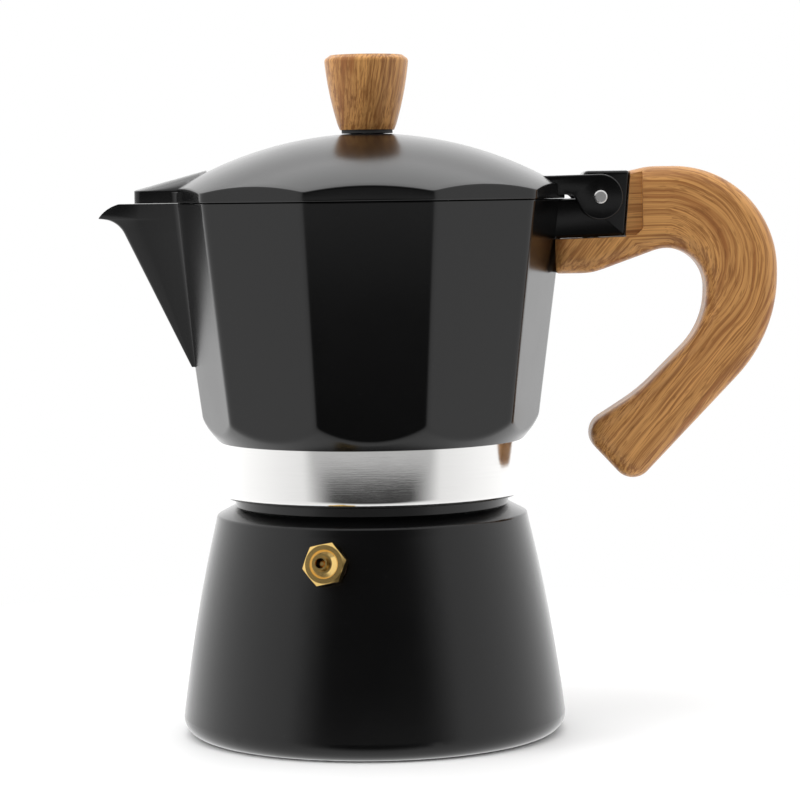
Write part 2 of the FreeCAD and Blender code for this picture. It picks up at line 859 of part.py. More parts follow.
def make_hinge_pin():
    body = new_body("hinge_pin")
    half = d.lug_half + d.ear_play + d.ear_thickness + 0.15
    head = half + d.pin_head_height
    revolve(body, [
        (0, -head), (d.pin_head - 0.3, -head), (d.pin_head, -half - 0.15), (d.pin_head, -half),
        (d.pin_radius, -half), (d.pin_radius, half), (d.pin_head, half), (d.pin_head, half + 0.15),
        (d.pin_head - 0.3, head), (0, head),
    ])
    body.Placement = FreeCAD.Placement(
        FreeCAD.Vector(d.pin_reach.value, 0, d.pin_height.value),
        FreeCAD.Rotation(FreeCAD.Vector(1, 0, 0), 90))
    return body


# ---------------------------------------------------------------- knob

def make_knob():
    body = new_body("knob")
    foot = d.knob_foot
    revolve(body, [
        (d.knob_bore, foot), (d.knob_foot_radius, foot), (d.knob_neck_radius, foot + 1.2, d.knob_curve),
        (d.knob_top_radius, d.knob_side_top), (d.knob_top_radius - 1.4, d.knob_crown - 0.2),
        (0, d.knob_crown), (0, foot + d.knob_bore_depth), (d.knob_bore, foot + d.knob_bore_depth),
    ])
    round_edges(body, ring_at(d.knob_top_radius, d.knob_side_top), as_size(1.0))
    return body


def make_knob_spacer():
    body = new_body("knob_spacer")
    rectangle_revolved(body, d.knob_screw_radius + FIT, d.dome_top + 0.02, d.spacer_radius, d.knob_foot)
    return body


def make_knob_insert():
    body = new_body("knob_insert")
    rectangle_revolved(body, d.knob_screw_radius, d.knob_foot, d.knob_bore, d.knob_foot + d.insert_length)
    return body


def make_knob_washer():
    body = new_body("knob_washer")
    rectangle_revolved(
        body, d.knob_screw_radius + FIT, d.lid_boss_foot - 0.5, d.knob_screw_head + 0.7, d.lid_boss_foot)
    return body


def make_knob_screw():
    body = new_body("knob_screw")
    seat = d.lid_boss_foot - 0.5
    revolve(body, [
        (0, seat - 2), (d.knob_screw_head - 0.5, seat - 2), (d.knob_screw_head, seat - 1.2),
        (d.knob_screw_head, seat), (d.knob_screw_radius, seat),
        (d.knob_screw_radius, d.knob_foot + d.insert_length - 1), (0, d.knob_foot + d.insert_length - 1),
    ])
    cross_slot(body, seat - 2, as_size(0))
    return body


def cross_slot(body, height, reach):
    """A cross recess in the underside of a screw's head."""
    for long_x, long_y in ((1.9, 0.35), (0.35, 1.9)):
        sketch = new_sketch(body, "XY_Plane", height)
        rectangle(sketch, reach - long_x, as_size(-long_y), reach + long_x, as_size(long_y))
        cutting(body, lambda: extrude(body, sketch, as_size(1.1), "Pocket", back=True))


# ---------------------------------------------------------------- handle

def trimmed_corner(before, corner, after, radius):
    """Where a rounded corner leaves its two straight sides, and the middle of its arc."""
    back = (before - corner).normalize()
    ahead = (after - corner).normalize()
    half = back.getAngle(ahead) / 2
    reach = radius / math.tan(half)
    middle = (back + ahead).normalize() * (radius / math.sin(half) - radius)
    return corner + back * reach, corner + middle, corner + ahead * reach


def draw_rounded(sketch, corners):
    """A closed outline of straight sides whose corners (x, y, r) are rounded by r."""
    spots = [FreeCAD.Vector(x, y, 0) for x, y, _ in corners]
    runs = []
    last = None
    for index, corner in enumerate(spots):
        radius = corners[index][2]
        following = spots[(index + 1) % len(spots)]
        if radius:
            start, middle, end = trimmed_corner(spots[index - 1], corner, following, radius)
        else:
            start = middle = end = corner
        if last is not None:
            runs.append(Part.LineSegment(last, start))
        else:
            first = start
        if radius:
            runs.append(Part.Arc(start, middle, end))
        last = end
    runs.append(Part.LineSegment(last, first))
    for run in runs:
        sketch.addGeometry(run, False)
    ends = []
    for geo, run in enumerate(runs):
        same = (sketch.getPoint(geo, 1) - run.StartPoint).Length < 1e-5
        ends.append((1, 2) if same else (2, 1))
    for geo in range(len(runs)):
        following = (geo + 1) % len(runs)
        last, first = ends[geo][1], ends[following][0]
        sketch.addConstraint(Sketcher.Constraint("Coincident", geo, last, following, first))


def handle_outline(sketch):
    """The side view: a C-shaped grip, its butt, and the tongue under the lug."""
    reach, top, foot = d.handle_reach.value, d.handle_top.value, d.tongue_foot.value
    inner = reach - d.grip_width.value
    leg, butt_edge = d.leg_back.value, d.butt_back.value
    end, gap = d.tongue_end.value, d.handle_gap.value
    under_lug = d.lug_foot.value - gap
    behind_lug = d.lug_foot_end.value + gap
    butt, bow, inside = d.butt_round.value, d.bow_round.value, d.inside_round.value
    draw_rounded(sketch, [
        (d.lug_top_end.value + gap, top - 1.0, 0), (reach - 30, top, 12), (reach, top, bow),
        (reach, top - d.bow_drop.value, bow * 1.42), (reach - leg, top - d.leg_drop.value, butt),
        (reach - butt_edge, top - d.butt_drop.value, butt),
        (reach - d.heel_back.value, top - d.heel_drop.value, 40),
        (inner, top - d.inner_drop.value, inside * 2), (inner, top - d.inner_top.value, inside),
        (reach - d.crotch_back.value, foot, 8), (end + 0.4, foot, 1),
        (end, under_lug, 0), (behind_lug, under_lug + 0.5, 0),
    ])


def notch_collector_corner(body):
    """The tongue's end is notched to go round the collector's corner."""
    slope, wide = math.tan(HALF_SIDE), d.handle_half + 4
    apex = body_corner(d.lug_foot) + d.handle_gap * 1.5
    notch = new_sketch(body, "XY_Plane", d.tongue_foot - 2)
    draw(notch, [
        (apex - 30, -wide), (apex - wide * slope, -wide), (apex, 0), (apex - wide * slope, wide),
        (apex - 30, wide),
    ])
    cutting(body, lambda: extrude(body, notch, d.lug_foot - d.tongue_foot + 4, "Pocket", back=True))


def make_handle():
    body = new_body("handle")
    side = new_sketch(body)
    handle_outline(side)
    extrude(body, side, d.handle_half * 2, middle=True)

    def bow(edge):
        middle = edge.CenterOfMass
        on_side = abs(abs(middle.y) - d.handle_half.value) < 0.01
        return on_side and edge.Length > 20 and middle.x > 85 and middle.z > 115

    round_edges(body, bow, d.handle_round)

    for side_sign in (-1, 1):
        recess = new_sketch(body, "XZ_Plane", (d.handle_half + 2) * side_sign)
        x_low, x_high = d.lug_foot_end - 1, d.recess_end
        draw(recess, [
            (x_low, d.lug_foot + 0.7), (x_high - 1.5, d.lug_foot + 0.7), (x_high, d.lug_foot + 2.2),
            (x_high, d.lug_top + 4), (x_low, d.lug_top + 4),
        ])
        depth = d.handle_half + 2 - d.lug_half
        cutting(body, lambda: extrude(body, recess, depth, "Pocket", back=side_sign < 0))
    notch_collector_corner(body)
    well = new_sketch(body, "XY_Plane", d.tongue_foot - 2)
    circle(well, d.screw_well, d.screw_reach)
    cutting(body, lambda: extrude(body, well, d.screw_well_depth + 2, "Pocket", back=True))
    bore = new_sketch(body, "XY_Plane", d.tongue_foot - 2)
    circle(bore, d.screw_radius + 0.15, d.screw_reach)
    cutting(body, lambda: extrude(body, bore, d.lug_foot - d.tongue_foot + 4, "Pocket", back=True))
    return body


def screw_seat():
    return d.tongue_foot + d.screw_well_depth - d.screw_washer_thickness


def make_handle_washer():
    body = new_body("handle_washer")
    low = screw_seat()
    rectangle_revolved(
        body, d.screw_radius + FIT, low, d.screw_washer_radius, low + d.screw_washer_thickness)
    body.Placement = FreeCAD.Placement(FreeCAD.Vector(d.screw_reach.value, 0, 0), FreeCAD.Rotation())
    return body


def make_handle_screw():
    body = new_body("handle_screw")
    seat = screw_seat()
    head = seat - d.screw_head_height
    revolve(body, [
        (0, head), (d.screw_head_radius - 0.8, head), (d.screw_head_radius, head + 1.2),
        (d.screw_head_radius, seat), (d.screw_radius, seat), (d.screw_radius, seat + d.screw_depth),
        (0, seat + d.screw_depth),
    ])
    cross_slot(body, head, as_size(0))
    body.Placement = FreeCAD.Placement(FreeCAD.Vector(d.screw_reach.value, 0, 0), FreeCAD.Rotation())
    return body


# ---------------------------------------------------------------- the whole pot

def make_all():
    fill_sheet()
    boiler = drill_boiler(make_boiler())
    return [
        boiler, make_valve_body(), make_valve_washer(), make_valve_seat(), make_valve_plunger(),
        make_valve_spring(), make_funnel(), make_funnel_screen(), make_gasket(), make_filter_plate(),
        make_collector(), make_handle(), make_handle_screw(), make_handle_washer(), make_hinge_pin(),
        make_lid(), make_knob(), make_knob_spacer(), make_knob_insert(), make_knob_washer(),
        make_knob_screw(),
    ]


def check_document(pieces):
    doc.recompute()
    for item in doc.Objects:
        bad = [state for state in item.State if state in ("Invalid", "Error")]
        if bad:
            raise RuntimeError("%s is %s" % (item.Label, bad))
    for piece in pieces:
        shape = piece.Shape
        if shape.isNull() or not shape.isValid() or not shape.Solids:
            raise RuntimeError("%s has no good shape" % piece.Label)
        print("%-16s %2d solid %9.1f mm3" % (piece.Label, len(shape.Solids), shape.Volume))


def write_parts(pieces):
    os.makedirs("parts", exist_ok=True)
    for piece in pieces:
        piece.Shape.exportStep("parts/%s.step" % piece.Label)


def main():
    pieces = make_all()
    check_document(pieces)
    write_parts(pieces)


main()
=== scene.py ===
"""A stove-top moka pot: its painted castings, its turned and sheet metal pieces, and its wood grips.

Lengths in the functions are millimetres. Every finished piece is scaled to metres.
"""

import math

import bmesh
import bpy
from mathutils import Matrix, Vector


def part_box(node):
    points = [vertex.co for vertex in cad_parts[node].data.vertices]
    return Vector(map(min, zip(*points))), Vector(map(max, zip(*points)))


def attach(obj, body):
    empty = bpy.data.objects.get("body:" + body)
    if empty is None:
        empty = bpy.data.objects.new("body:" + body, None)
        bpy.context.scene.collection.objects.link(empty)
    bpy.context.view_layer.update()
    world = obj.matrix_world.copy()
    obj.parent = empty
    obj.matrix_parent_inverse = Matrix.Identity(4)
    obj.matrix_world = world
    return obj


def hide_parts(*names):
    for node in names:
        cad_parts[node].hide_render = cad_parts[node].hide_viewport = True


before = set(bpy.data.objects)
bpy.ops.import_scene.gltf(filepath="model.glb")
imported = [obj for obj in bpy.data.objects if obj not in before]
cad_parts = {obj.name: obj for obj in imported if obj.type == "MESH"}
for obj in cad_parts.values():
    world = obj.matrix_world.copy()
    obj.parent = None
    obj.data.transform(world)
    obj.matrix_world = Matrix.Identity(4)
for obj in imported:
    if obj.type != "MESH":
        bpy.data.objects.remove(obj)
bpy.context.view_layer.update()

bl_info = {
    "name": "Moka Pot",
    "version": (1, 0, 0),
    "blender": (4, 5, 0),
    "location": "View3D > Sidebar > Moka Pot",
    "description": "Builds a stove-top moka pot around its CAD frame",
    "category": "Add Mesh",
}

MM = 0.001
SIDES = 10
STEP = math.tau / SIDES
FULL_TURN = math.tau


# ---------------------------------------------------------------- sizes and finishes

def length(name, description, default, **more):
    """A length of the pot, with its default in millimetres."""
    return bpy.props.FloatProperty(
        name=name, description=description, default=default * MM, unit="LENGTH", precision=5, **more)


def colour(name, description, default):
    return bpy.props.FloatVectorProperty(
        name=name, description=description, default=default, subtype="COLOR", size=3, min=0, max=1)


class MokaSizes(bpy.types.PropertyGroup):
    """The sizes of the two faceted castings."""
    band_radius: length("Band radius", "Outside radius of the bare band", 35.85)
    band_foot: length("Band foot", "Height of the band's lower edge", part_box("collector")[0].z / MM)
    band_top: length("Band top", "Height where the painted side starts", 69.4)
    side_foot: length("Side foot", "Height at which the side's corner radius is taken", 69.0)
    side_foot_corner: length("Foot corner radius", "Corner radius at the side's foot", 39.2)
    rim_height: length("Rim height", "Height of the collector's rim", 125.6)
    rim_corner: length("Rim corner radius", "Corner radius at the rim", 46.67)
    side_wall: length("Side wall", "Wall thickness of the collector", 2.6)
    chamfer_radius: length("Chamfer radius", "Radius at the top of the turned chamfer", 40.3)
    chamfer_top: length("Chamfer top", "Height of the top of the turned chamfer", 75.4)
    floor_height: length("Chamber floor", "Height of the chamber's floor", 74.0)
    spout_reach: length("Spout reach", "How far the spout's tip stands out", -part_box("collector")[0].x / MM)
    lid_foot: length("Lid foot", "Height of the lid's lower edge", 125.7)
    lid_corner: length("Lid corner radius", "Corner radius of the lid", 47.1)
    dome_top: length("Dome top", "Height of the lid's crown", 141.5)
    dome_curve: length("Dome curve", "Radius of the dome's curve", 87.5)
    lid_wall: length("Lid wall", "Wall thickness of the lid", 1.8)
    pin_reach: length("Pin reach", "Distance of the hinge pin from the axis", 54.2)
    pin_height: length("Pin height", "Height of the hinge pin", 125.9)
    corner_softness: length("Corner softness", "Width over which each corner is rounded", 0.7)


class MokaFinishes(bpy.types.PropertyGroup):
    """The colours of the pot's finishes."""
    paint: colour("Paint", "Satin stove paint", (0.0014, 0.0014, 0.0015))
    aluminium: colour("Aluminium", "Bare aluminium", (0.82, 0.815, 0.805))
    brass: colour("Brass", "Turned brass", (0.82, 0.56, 0.20))
    steel: colour("Steel", "Zinc plated steel", (0.60, 0.60, 0.61))
    wood_light: colour("Light wood", "The wood between its growth lines", (0.62, 0.315, 0.105))
    wood_dark: colour("Dark wood", "The wood's growth lines", (0.25, 0.098, 0.030))
    silicone: colour("Silicone", "The seal ring", (0.80, 0.79, 0.75))
    fibre: colour("Fibre", "The valve's fibre washer", (0.045, 0.020, 0.014))
    plastic: colour("Plastic", "The knob's spacer", (0.004, 0.004, 0.004))
    floor: colour("Floor", "The floor's surface", (0.90, 0.90, 0.90))


def sizes():
    """The lengths of MokaSizes in millimetres, by name."""
    group = bpy.context.scene.moka_sizes
    return {name: getattr(group, name) / MM for name in MokaSizes.__annotations__}


def finish_colour(name):
    return (*getattr(bpy.context.scene.moka_finishes, name), 1.0)


# ---------------------------------------------------------------- mesh work

def rounded(points, segments=6):
    """An outline's points, with an arc at each point whose third value is a radius."""
    line = []
    for index, point in enumerate(points):
        corner = Vector(point[:2])
        radius = point[2] if len(point) > 2 else 0
        if not radius:
            line.append(corner)
            continue
        before = (Vector(points[index - 1][:2]) - corner).normalized()
        after = (Vector(points[(index + 1) % len(points)][:2]) - corner).normalized()
        half = before.angle(after) / 2
        centre = corner + (before + after).normalized() * radius / math.sin(half)
        start = corner + before * radius / math.tan(half) - centre
        end = corner + after * radius / math.tan(half) - centre
        sweep = start.angle_signed(end)
        for step in range(segments + 1):
            line.append(centre + Matrix.Rotation(-sweep * step / segments, 2) @ start)
    return line


def turned(outline, steps, closed=True):
    """A section of (radius, height) points turned once round the upright axis."""
    bm = bmesh.new()
    verts = [bm.verts.new((radius, 0, height)) for radius, height in outline]
    edges = [bm.edges.new(pair) for pair in zip(verts, verts[1:])]
    if closed:
        edges.append(bm.edges.new((verts[-1], verts[0])))
    bmesh.ops.spin(
        bm, geom=verts + edges, cent=(0, 0, 0), axis=(0, 0, 1), angle=FULL_TURN, steps=steps,
        use_merge=True)
    bmesh.ops.remove_doubles(bm, verts=bm.verts, dist=1e-4)
    bmesh.ops.recalc_face_normals(bm, faces=bm.faces)
    return bm


def plate(outline, low, high, axis="Y", soft=0.0, segments=3):
    """A flat outline made a plate that reaches from low to high along an axis."""
    bm = bmesh.new()
    place = (lambda a, b: (a, low, b)) if axis == "Y" else (lambda a, b: (a, b, low))
    face = bm.faces.new([bm.verts.new(place(a, b)) for a, b in outline])
    grown = bmesh.ops.extrude_face_region(bm, geom=[face])["geom"]
    step = Vector((0, high - low, 0)) if axis == "Y" else Vector((0, 0, high - low))
    bmesh.ops.translate(bm, vec=step, verts=[v for v in grown if isinstance(v, bmesh.types.BMVert)])
    bmesh.ops.recalc_face_normals(bm, faces=bm.faces)
    if soft:
        caps = sorted(bm.faces, key=lambda f: -f.calc_area())[:2] if axis == "Y" else [
            f for f in bm.faces if f.normal.z > 0.7]
        edges = list({edge for cap in caps for edge in cap.edges})
        bmesh.ops.bevel(
            bm, geom=edges, offset=soft, segments=segments, affect="EDGES", profile=0.5,
            material=-1)
    return bm


def loft(rings):
    """A closed solid through rings of vertices, each a list of (x, y, z) points of one length."""
    bm = bmesh.new()
    loops = []
    for ring in rings:
        verts = [bm.verts.new(point) for point in ring]
        loops.append([bm.edges.new(pair) for pair in zip(verts, verts[1:] + verts[:1])])
    for lower, upper in zip(loops, loops[1:]):
        bmesh.ops.bridge_loops(bm, edges=lower + upper)
    for end in (loops[0], loops[-1]):
        bmesh.ops.contextual_create(bm, geom=end)
    bmesh.ops.recalc_face_normals(bm, faces=bm.faces)
    return bm


def rod(radius, centre, reach, axis, segments=48):
    """A round rod through a centre, standing out by reach both ways along X, Y or Z."""
    bm = bmesh.new()
    bmesh.ops.create_cone(
        bm, cap_ends=True, segments=segments, radius1=radius, radius2=radius, depth=reach * 2)
    turn = {"X": Matrix.Rotation(math.pi / 2, 3, "Y"), "Y": Matrix.Rotation(math.pi / 2, 3, "X")}
    if axis in turn:
        bmesh.ops.rotate(bm, verts=bm.verts, cent=(0, 0, 0), matrix=turn[axis])
    bmesh.ops.translate(bm, verts=bm.verts, vec=centre)
    return bm


def soft_min(first, second, width):
    """The lesser of two lengths, blended where they are nearly the same."""
    near = max(width - abs(first - second), 0) / width
    return min(first, second) - near * near * width / 4


def crowd_to_corners(bm):
    """Moves the turned columns round the axis, so that they stand closer at the corners."""
    for vert in bm.verts:
        radius, angle = math.hypot(vert.co.x, vert.co.y), math.atan2(vert.co.y, vert.co.x)
        middle = math.floor(angle / STEP + 1e-6) * STEP + STEP / 2
        share = (angle - middle) / (STEP / 2)
        angle = middle + STEP / 2 * math.sin(max(-1, min(1, share)) * math.pi / 2)
        vert.co.x, vert.co.y = radius * math.cos(angle), radius * math.sin(angle)


def side_share(angle, softness):
    """How far out a flat side stands at an angle, as a share of its corner's radius."""
    across = (angle % STEP) - STEP / 2
    near = math.cos(STEP / 2) / math.cos(across)
    far = math.cos(STEP / 2) / math.cos(STEP - abs(across))
    return soft_min(near, far, softness)


def set_radius(vert, radius):
    old = math.hypot(vert.co.x, vert.co.y)
    vert.co.x *= radius / old
    vert.co.y *= radius / old


def new_object(name, bm):
    mesh = bpy.data.meshes.new(name)
    bm.to_mesh(mesh)
    bm.free()
    piece = bpy.data.objects.new(name, mesh)
    bpy.context.scene.collection.objects.link(piece)
    return piece


def combine(piece, tool_mesh, operation, material=0):
    """Joins a solid to a piece, or cuts it out of it. Cut faces get the tool's material."""
    tool = new_object(piece.name + "_tool", tool_mesh)
    for face in tool.data.polygons:
        face.material_index = material
    modifier = piece.modifiers.new(operation.title(), "BOOLEAN")
    modifier.operation = operation
    modifier.object = tool
    modifier.solver = "EXACT"
    tool.data.materials.clear()
    for filled in piece.data.materials:
        tool.data.materials.append(filled)
    shaped = bpy.data.meshes.new_from_object(
        piece.evaluated_get(bpy.context.evaluated_depsgraph_get()))
    piece.modifiers.clear()
    old = piece.data
    piece.data = shaped
    bpy.data.meshes.remove(old)
    bpy.data.objects.remove(tool)


def finish_piece(piece, body, nodes, sharp=32):
    """Scales a piece to metres, marks its sharp edges and puts it on its body."""
    bm = bmesh.new()
    bm.from_mesh(piece.data)
    bmesh.ops.remove_doubles(bm, verts=bm.verts, dist=2e-3)
    bmesh.ops.dissolve_degenerate(bm, edges=bm.edges, dist=1e-3)
    bmesh.ops.scale(bm, vec=(MM, MM, MM), verts=bm.verts)
    limit = math.radians(sharp)
    for edge in bm.edges:
        edge.smooth = len(edge.link_faces) == 2 and edge.calc_face_angle(0) < limit
    for face in bm.faces:
        face.smooth = True
    bm.to_mesh(piece.data)
    bm.free()
    piece.data.name = piece.name
    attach(piece, body)
    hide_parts(*nodes)
    return piece


# ---------------------------------------------------------------- materials

def add_node(tree, kind, inputs=(), **settings):
    """A shader node, with its settings and its inputs as values or as sockets to link from."""
    node = tree.nodes.new(kind)
    for key, value in settings.items():
        setattr(node, key, value)
    for key, value in dict(inputs).items():
        if isinstance(value, bpy.types.NodeSocket):
            tree.links.new(value, node.inputs[key])
        else:
            node.inputs[key].default_value = value
    return node


def math_node(tree, operation, first, second=0.0, clamp=False):
    return add_node(tree, "ShaderNodeMath", {0: first, 1: second}, operation=operation,
                    use_clamp=clamp).outputs[0]


def object_place(tree, scale=(1, 1, 1), rotation=(0, 0, 0)):
    """The place on the piece, stretched by scale."""
    place = add_node(tree, "ShaderNodeTexCoord").outputs["Object"]
    return add_node(tree, "ShaderNodeMapping", {
        "Vector": place, "Scale": scale, "Rotation": rotation}).outputs[0]


def noise(tree, place, scale, detail=3.0, roughness=0.55, distortion=0.0):
    return add_node(tree, "ShaderNodeTexNoise", {
        "Vector": place, "Scale": scale, "Detail": detail, "Roughness": roughness,
        "Distortion": distortion}).outputs["Fac"]


def spread(tree, value, low, high, start=0.0, end=1.0):
    """Maps a value from start..end to low..high."""
    return add_node(tree, "ShaderNodeMapRange", {
        "Value": value, "From Min": start, "From Max": end, "To Min": low, "To Max": high},
    ).outputs["Result"]


def mixed(tree, factor, first, second):
    """A colour between two colours."""
    node = tree.nodes.new("ShaderNodeMix")
    node.data_type = "RGBA"
    for key, value in ((0, factor), (6, first), (7, second)):
        if isinstance(value, bpy.types.NodeSocket):
            tree.links.new(value, node.inputs[key])
        else:
            node.inputs[key].default_value = value
    return node.outputs[2]


def bump(tree, height, strength, distance, normal=None):
    inputs = {"Height": height, "Strength": strength, "Distance": distance}
    if normal:
        inputs["Normal"] = normal
    return add_node(tree, "ShaderNodeBump", inputs).outputs["Normal"]


def new_material(name, **constants):
    """A material, its node tree and its shader, with the shader's constant values set."""
    material = bpy.data.materials.new(name)
    material.use_nodes = True
    tree = material.node_tree
    shader = tree.nodes["Principled BSDF"]
    for key, value in constants.items():
        shader.inputs[key.replace("_", " ").title().replace("Ior", "IOR")].default_value = value
    return material, tree, shader


def dim(value, share):
    return (*[part * share for part in value[:3]], 1.0)


def distance_from_axis(tree):
    place = add_node(tree, "ShaderNodeTexCoord").outputs["Object"]
    parts = add_node(tree, "ShaderNodeSeparateXYZ", {0: place}).outputs
    flat = add_node(tree, "ShaderNodeCombineXYZ", {0: parts[0], 1: parts[1]}).outputs[0]
    reach = add_node(tree, "ShaderNodeVectorMath", {0: flat}, operation="LENGTH").outputs["Value"]
    return reach, parts[2], place


def paint_values(tree):
    """Satin paint: its colour, roughness and the height of its fine orange peel."""
    colour_now = finish_colour("paint")
    place = object_place(tree)
    cloud = noise(tree, place, 38.0, 4.0)
    speck = noise(tree, place, 2600.0, 1.0)
    dust = spread(tree, speck, 0.0, 1.0, 0.80, 0.84)
    base = mixed(tree, cloud, dim(colour_now, 0.8), dim(colour_now, 1.25))
    base = mixed(tree, math_node(tree, "MULTIPLY", dust, 0.35, True), base, (0.16, 0.16, 0.16, 1))
    rough = spread(tree, cloud, 0.19, 0.25, 0.3, 0.7)
    peel = math_node(tree, "ADD", noise(tree, place, 900.0, 2.0),
                     math_node(tree, "MULTIPLY", noise(tree, place, 3200.0, 2.0), 0.35))
    return base, rough, peel


def satin_paint(name="satin_black_paint"):
    material, tree, shader = new_material(name, specular_ior_level=0.42)
    base, rough, peel = paint_values(tree)
    tree.links.new(base, shader.inputs["Base Color"])
    tree.links.new(rough, shader.inputs["Roughness"])
    tree.links.new(bump(tree, peel, 0.10, 0.00005), shader.inputs["Normal"])
    return material


def lathe_lines(tree):
    """Fine lines left by turning: they change along the axis and outwards, hardly round it."""
    reach, height, place = distance_from_axis(tree)
    line_place = add_node(tree, "ShaderNodeCombineXYZ", {0: reach, 1: height}).outputs[0]
    slow = add_node(tree, "ShaderNodeVectorMath", {0: place, 1: (0.02, 0.02, 0.02)},
                    operation="MULTIPLY").outputs[0]
    total = add_node(tree, "ShaderNodeVectorMath", {0: line_place, 1: slow}, operation="ADD").outputs[0]
    return noise(tree, total, 5200.0, 3.0, 0.7), place


def turned_metal(name, tint, rough_low, rough_high, line_depth=0.06, haze=0.0):
    """Turned or polished metal, with fine lines and cloudy changes of shine."""
    material, tree, shader = new_material(name, metallic=1.0)
    base = finish_colour(tint)
    lines, place = lathe_lines(tree)
    cloud = noise(tree, place, 55.0, 5.0, 0.6, 0.8)
    shine = math_node(tree, "ADD", math_node(tree, "MULTIPLY", cloud, 0.75),
                      math_node(tree, "MULTIPLY", lines, 0.25))
    tone = mixed(tree, cloud, dim(base, 0.92), dim(base, 1.0))
    tree.links.new(mixed(tree, math_node(tree, "MULTIPLY", lines, 0.5), tone, dim(base, 0.84)),
                   shader.inputs["Base Color"])
    tree.links.new(spread(tree, shine, rough_low, rough_high, 0.3, 0.7), shader.inputs["Roughness"])
    height = lines
    if haze:
        wrinkle = noise(tree, object_place(tree, (1, 1, 3.0)), 420.0, 6.0, 0.65, 1.2)
        height = math_node(tree, "ADD", lines, math_node(tree, "MULTIPLY", wrinkle, haze))
    tree.links.new(bump(tree, height, line_depth, 0.0001), shader.inputs["Normal"])
    return material


def cast_aluminium(name="cast_aluminium"):
    """The unpainted inside of a casting: bright, with the grain of blasted metal."""
    material, tree, shader = new_material(name, metallic=1.0)
    base = finish_colour("aluminium")
    place = object_place(tree)
    grain = noise(tree, place, 1400.0, 3.0, 0.7)
    cloud = noise(tree, place, 60.0, 4.0)
    tree.links.new(mixed(tree, cloud, dim(base, 0.78), dim(base, 0.95)), shader.inputs["Base Color"])
    tree.links.new(spread(tree, cloud, 0.34, 0.48, 0.3, 0.7), shader.inputs["Roughness"])
    tree.links.new(bump(tree, grain, 0.22, 0.0001), shader.inputs["Normal"])
    return material


# where the boiler's paint ends, in metres
BOILER_LEAN = 0.18
LOW_SIDE_HEIGHT, PAINTED_INSIDE_RADIUS = 0.0044, 0.0438
FOOT_TOP, SHOULDER_HEIGHT = 0.003, 0.0515
BARE_RADIUS, THREAD_FOOT = 0.031, 0.0572


def boiler_finish(name="boiler_paint_and_metal"):
    """Paint on the boiler's outside, its foot and its neck up to the thread, and bare metal on its thread and
    inside. The black on the neck is partly the pot's paint and partly painted shade, where the band shades
    the neck.
    """
    material, tree, shader = new_material(name, specular_ior_level=0.42)
    paint, paint_rough, peel = paint_values(tree)
    reach, height, place = distance_from_axis(tree)
    # the inside stands a wall's thickness in from the leaning side
    at_foot = PAINTED_INSIDE_RADIUS + BOILER_LEAN * LOW_SIDE_HEIGHT
    limit = math_node(tree, "SUBTRACT", at_foot, math_node(tree, "MULTIPLY", height, BOILER_LEAN))
    side = math_node(tree, "GREATER_THAN", reach, limit)
    foot = math_node(tree, "LESS_THAN", height, FOOT_TOP)
    above_shoulder = math_node(tree, "GREATER_THAN", height, SHOULDER_HEIGHT)
    # the neck up to the thread is painted black: partly the pot's paint, partly painted shade under the band
    neck = math_node(tree, "MULTIPLY", above_shoulder, math_node(tree, "GREATER_THAN", reach, BARE_RADIUS))
    outside = math_node(tree, "MAXIMUM", math_node(tree, "MAXIMUM", side, foot), neck)
    under_thread = math_node(tree, "LESS_THAN", height, THREAD_FOOT)
    painted = math_node(tree, "MULTIPLY", outside, under_thread)
    metal = finish_colour("aluminium")
    cloud = noise(tree, place, 60.0, 4.0)
    bare = mixed(tree, cloud, dim(metal, 0.78), dim(metal, 0.95))
    tree.links.new(mixed(tree, painted, bare, paint), shader.inputs["Base Color"])
    tree.links.new(math_node(tree, "SUBTRACT", 1.0, painted), shader.inputs["Metallic"])
    rough = add_node(tree, "ShaderNodeMix", {0: painted, 3: paint_rough}, data_type="FLOAT")
    rough.inputs[2].default_value = 0.38
    tree.links.new(rough.outputs[0], shader.inputs["Roughness"])
    tree.links.new(bump(tree, peel, 0.10, 0.00005), shader.inputs["Normal"])
    return material


def grain_lines(tree, across, depth, along, base_scale):
    """Wood from its own directions: growth lines, slow colour changes and pores."""
    slow_place = add_node(tree, "ShaderNodeCombineXYZ", {
        0: across, 1: depth, 2: math_node(tree, "MULTIPLY", along, 0.22)}).outputs[0]
    warp = noise(tree, slow_place, 90.0 * base_scale, 3.0, 0.5)
    bent = math_node(tree, "ADD", across, math_node(tree, "MULTIPLY", math_node(
        tree, "SUBTRACT", warp, 0.5), 0.006))
    line_place = add_node(tree, "ShaderNodeCombineXYZ", {
        0: bent, 1: math_node(tree, "MULTIPLY", depth, 0.45),
        2: math_node(tree, "MULTIPLY", along, 0.02)}).outputs[0]
    coarse = noise(tree, line_place, 520.0 * base_scale, 3.0, 0.7)
    fine = noise(tree, line_place, 1700.0 * base_scale, 3.0, 0.7)
    pore_place = add_node(tree, "ShaderNodeCombineXYZ", {
        0: across, 1: depth, 2: math_node(tree, "MULTIPLY", along, 0.12)}).outputs[0]
    pores = noise(tree, pore_place, 2100.0 * base_scale, 1.0, 0.5)
    cloud = noise(tree, slow_place, 60.0, 2.0)
    return coarse, fine, pores, cloud


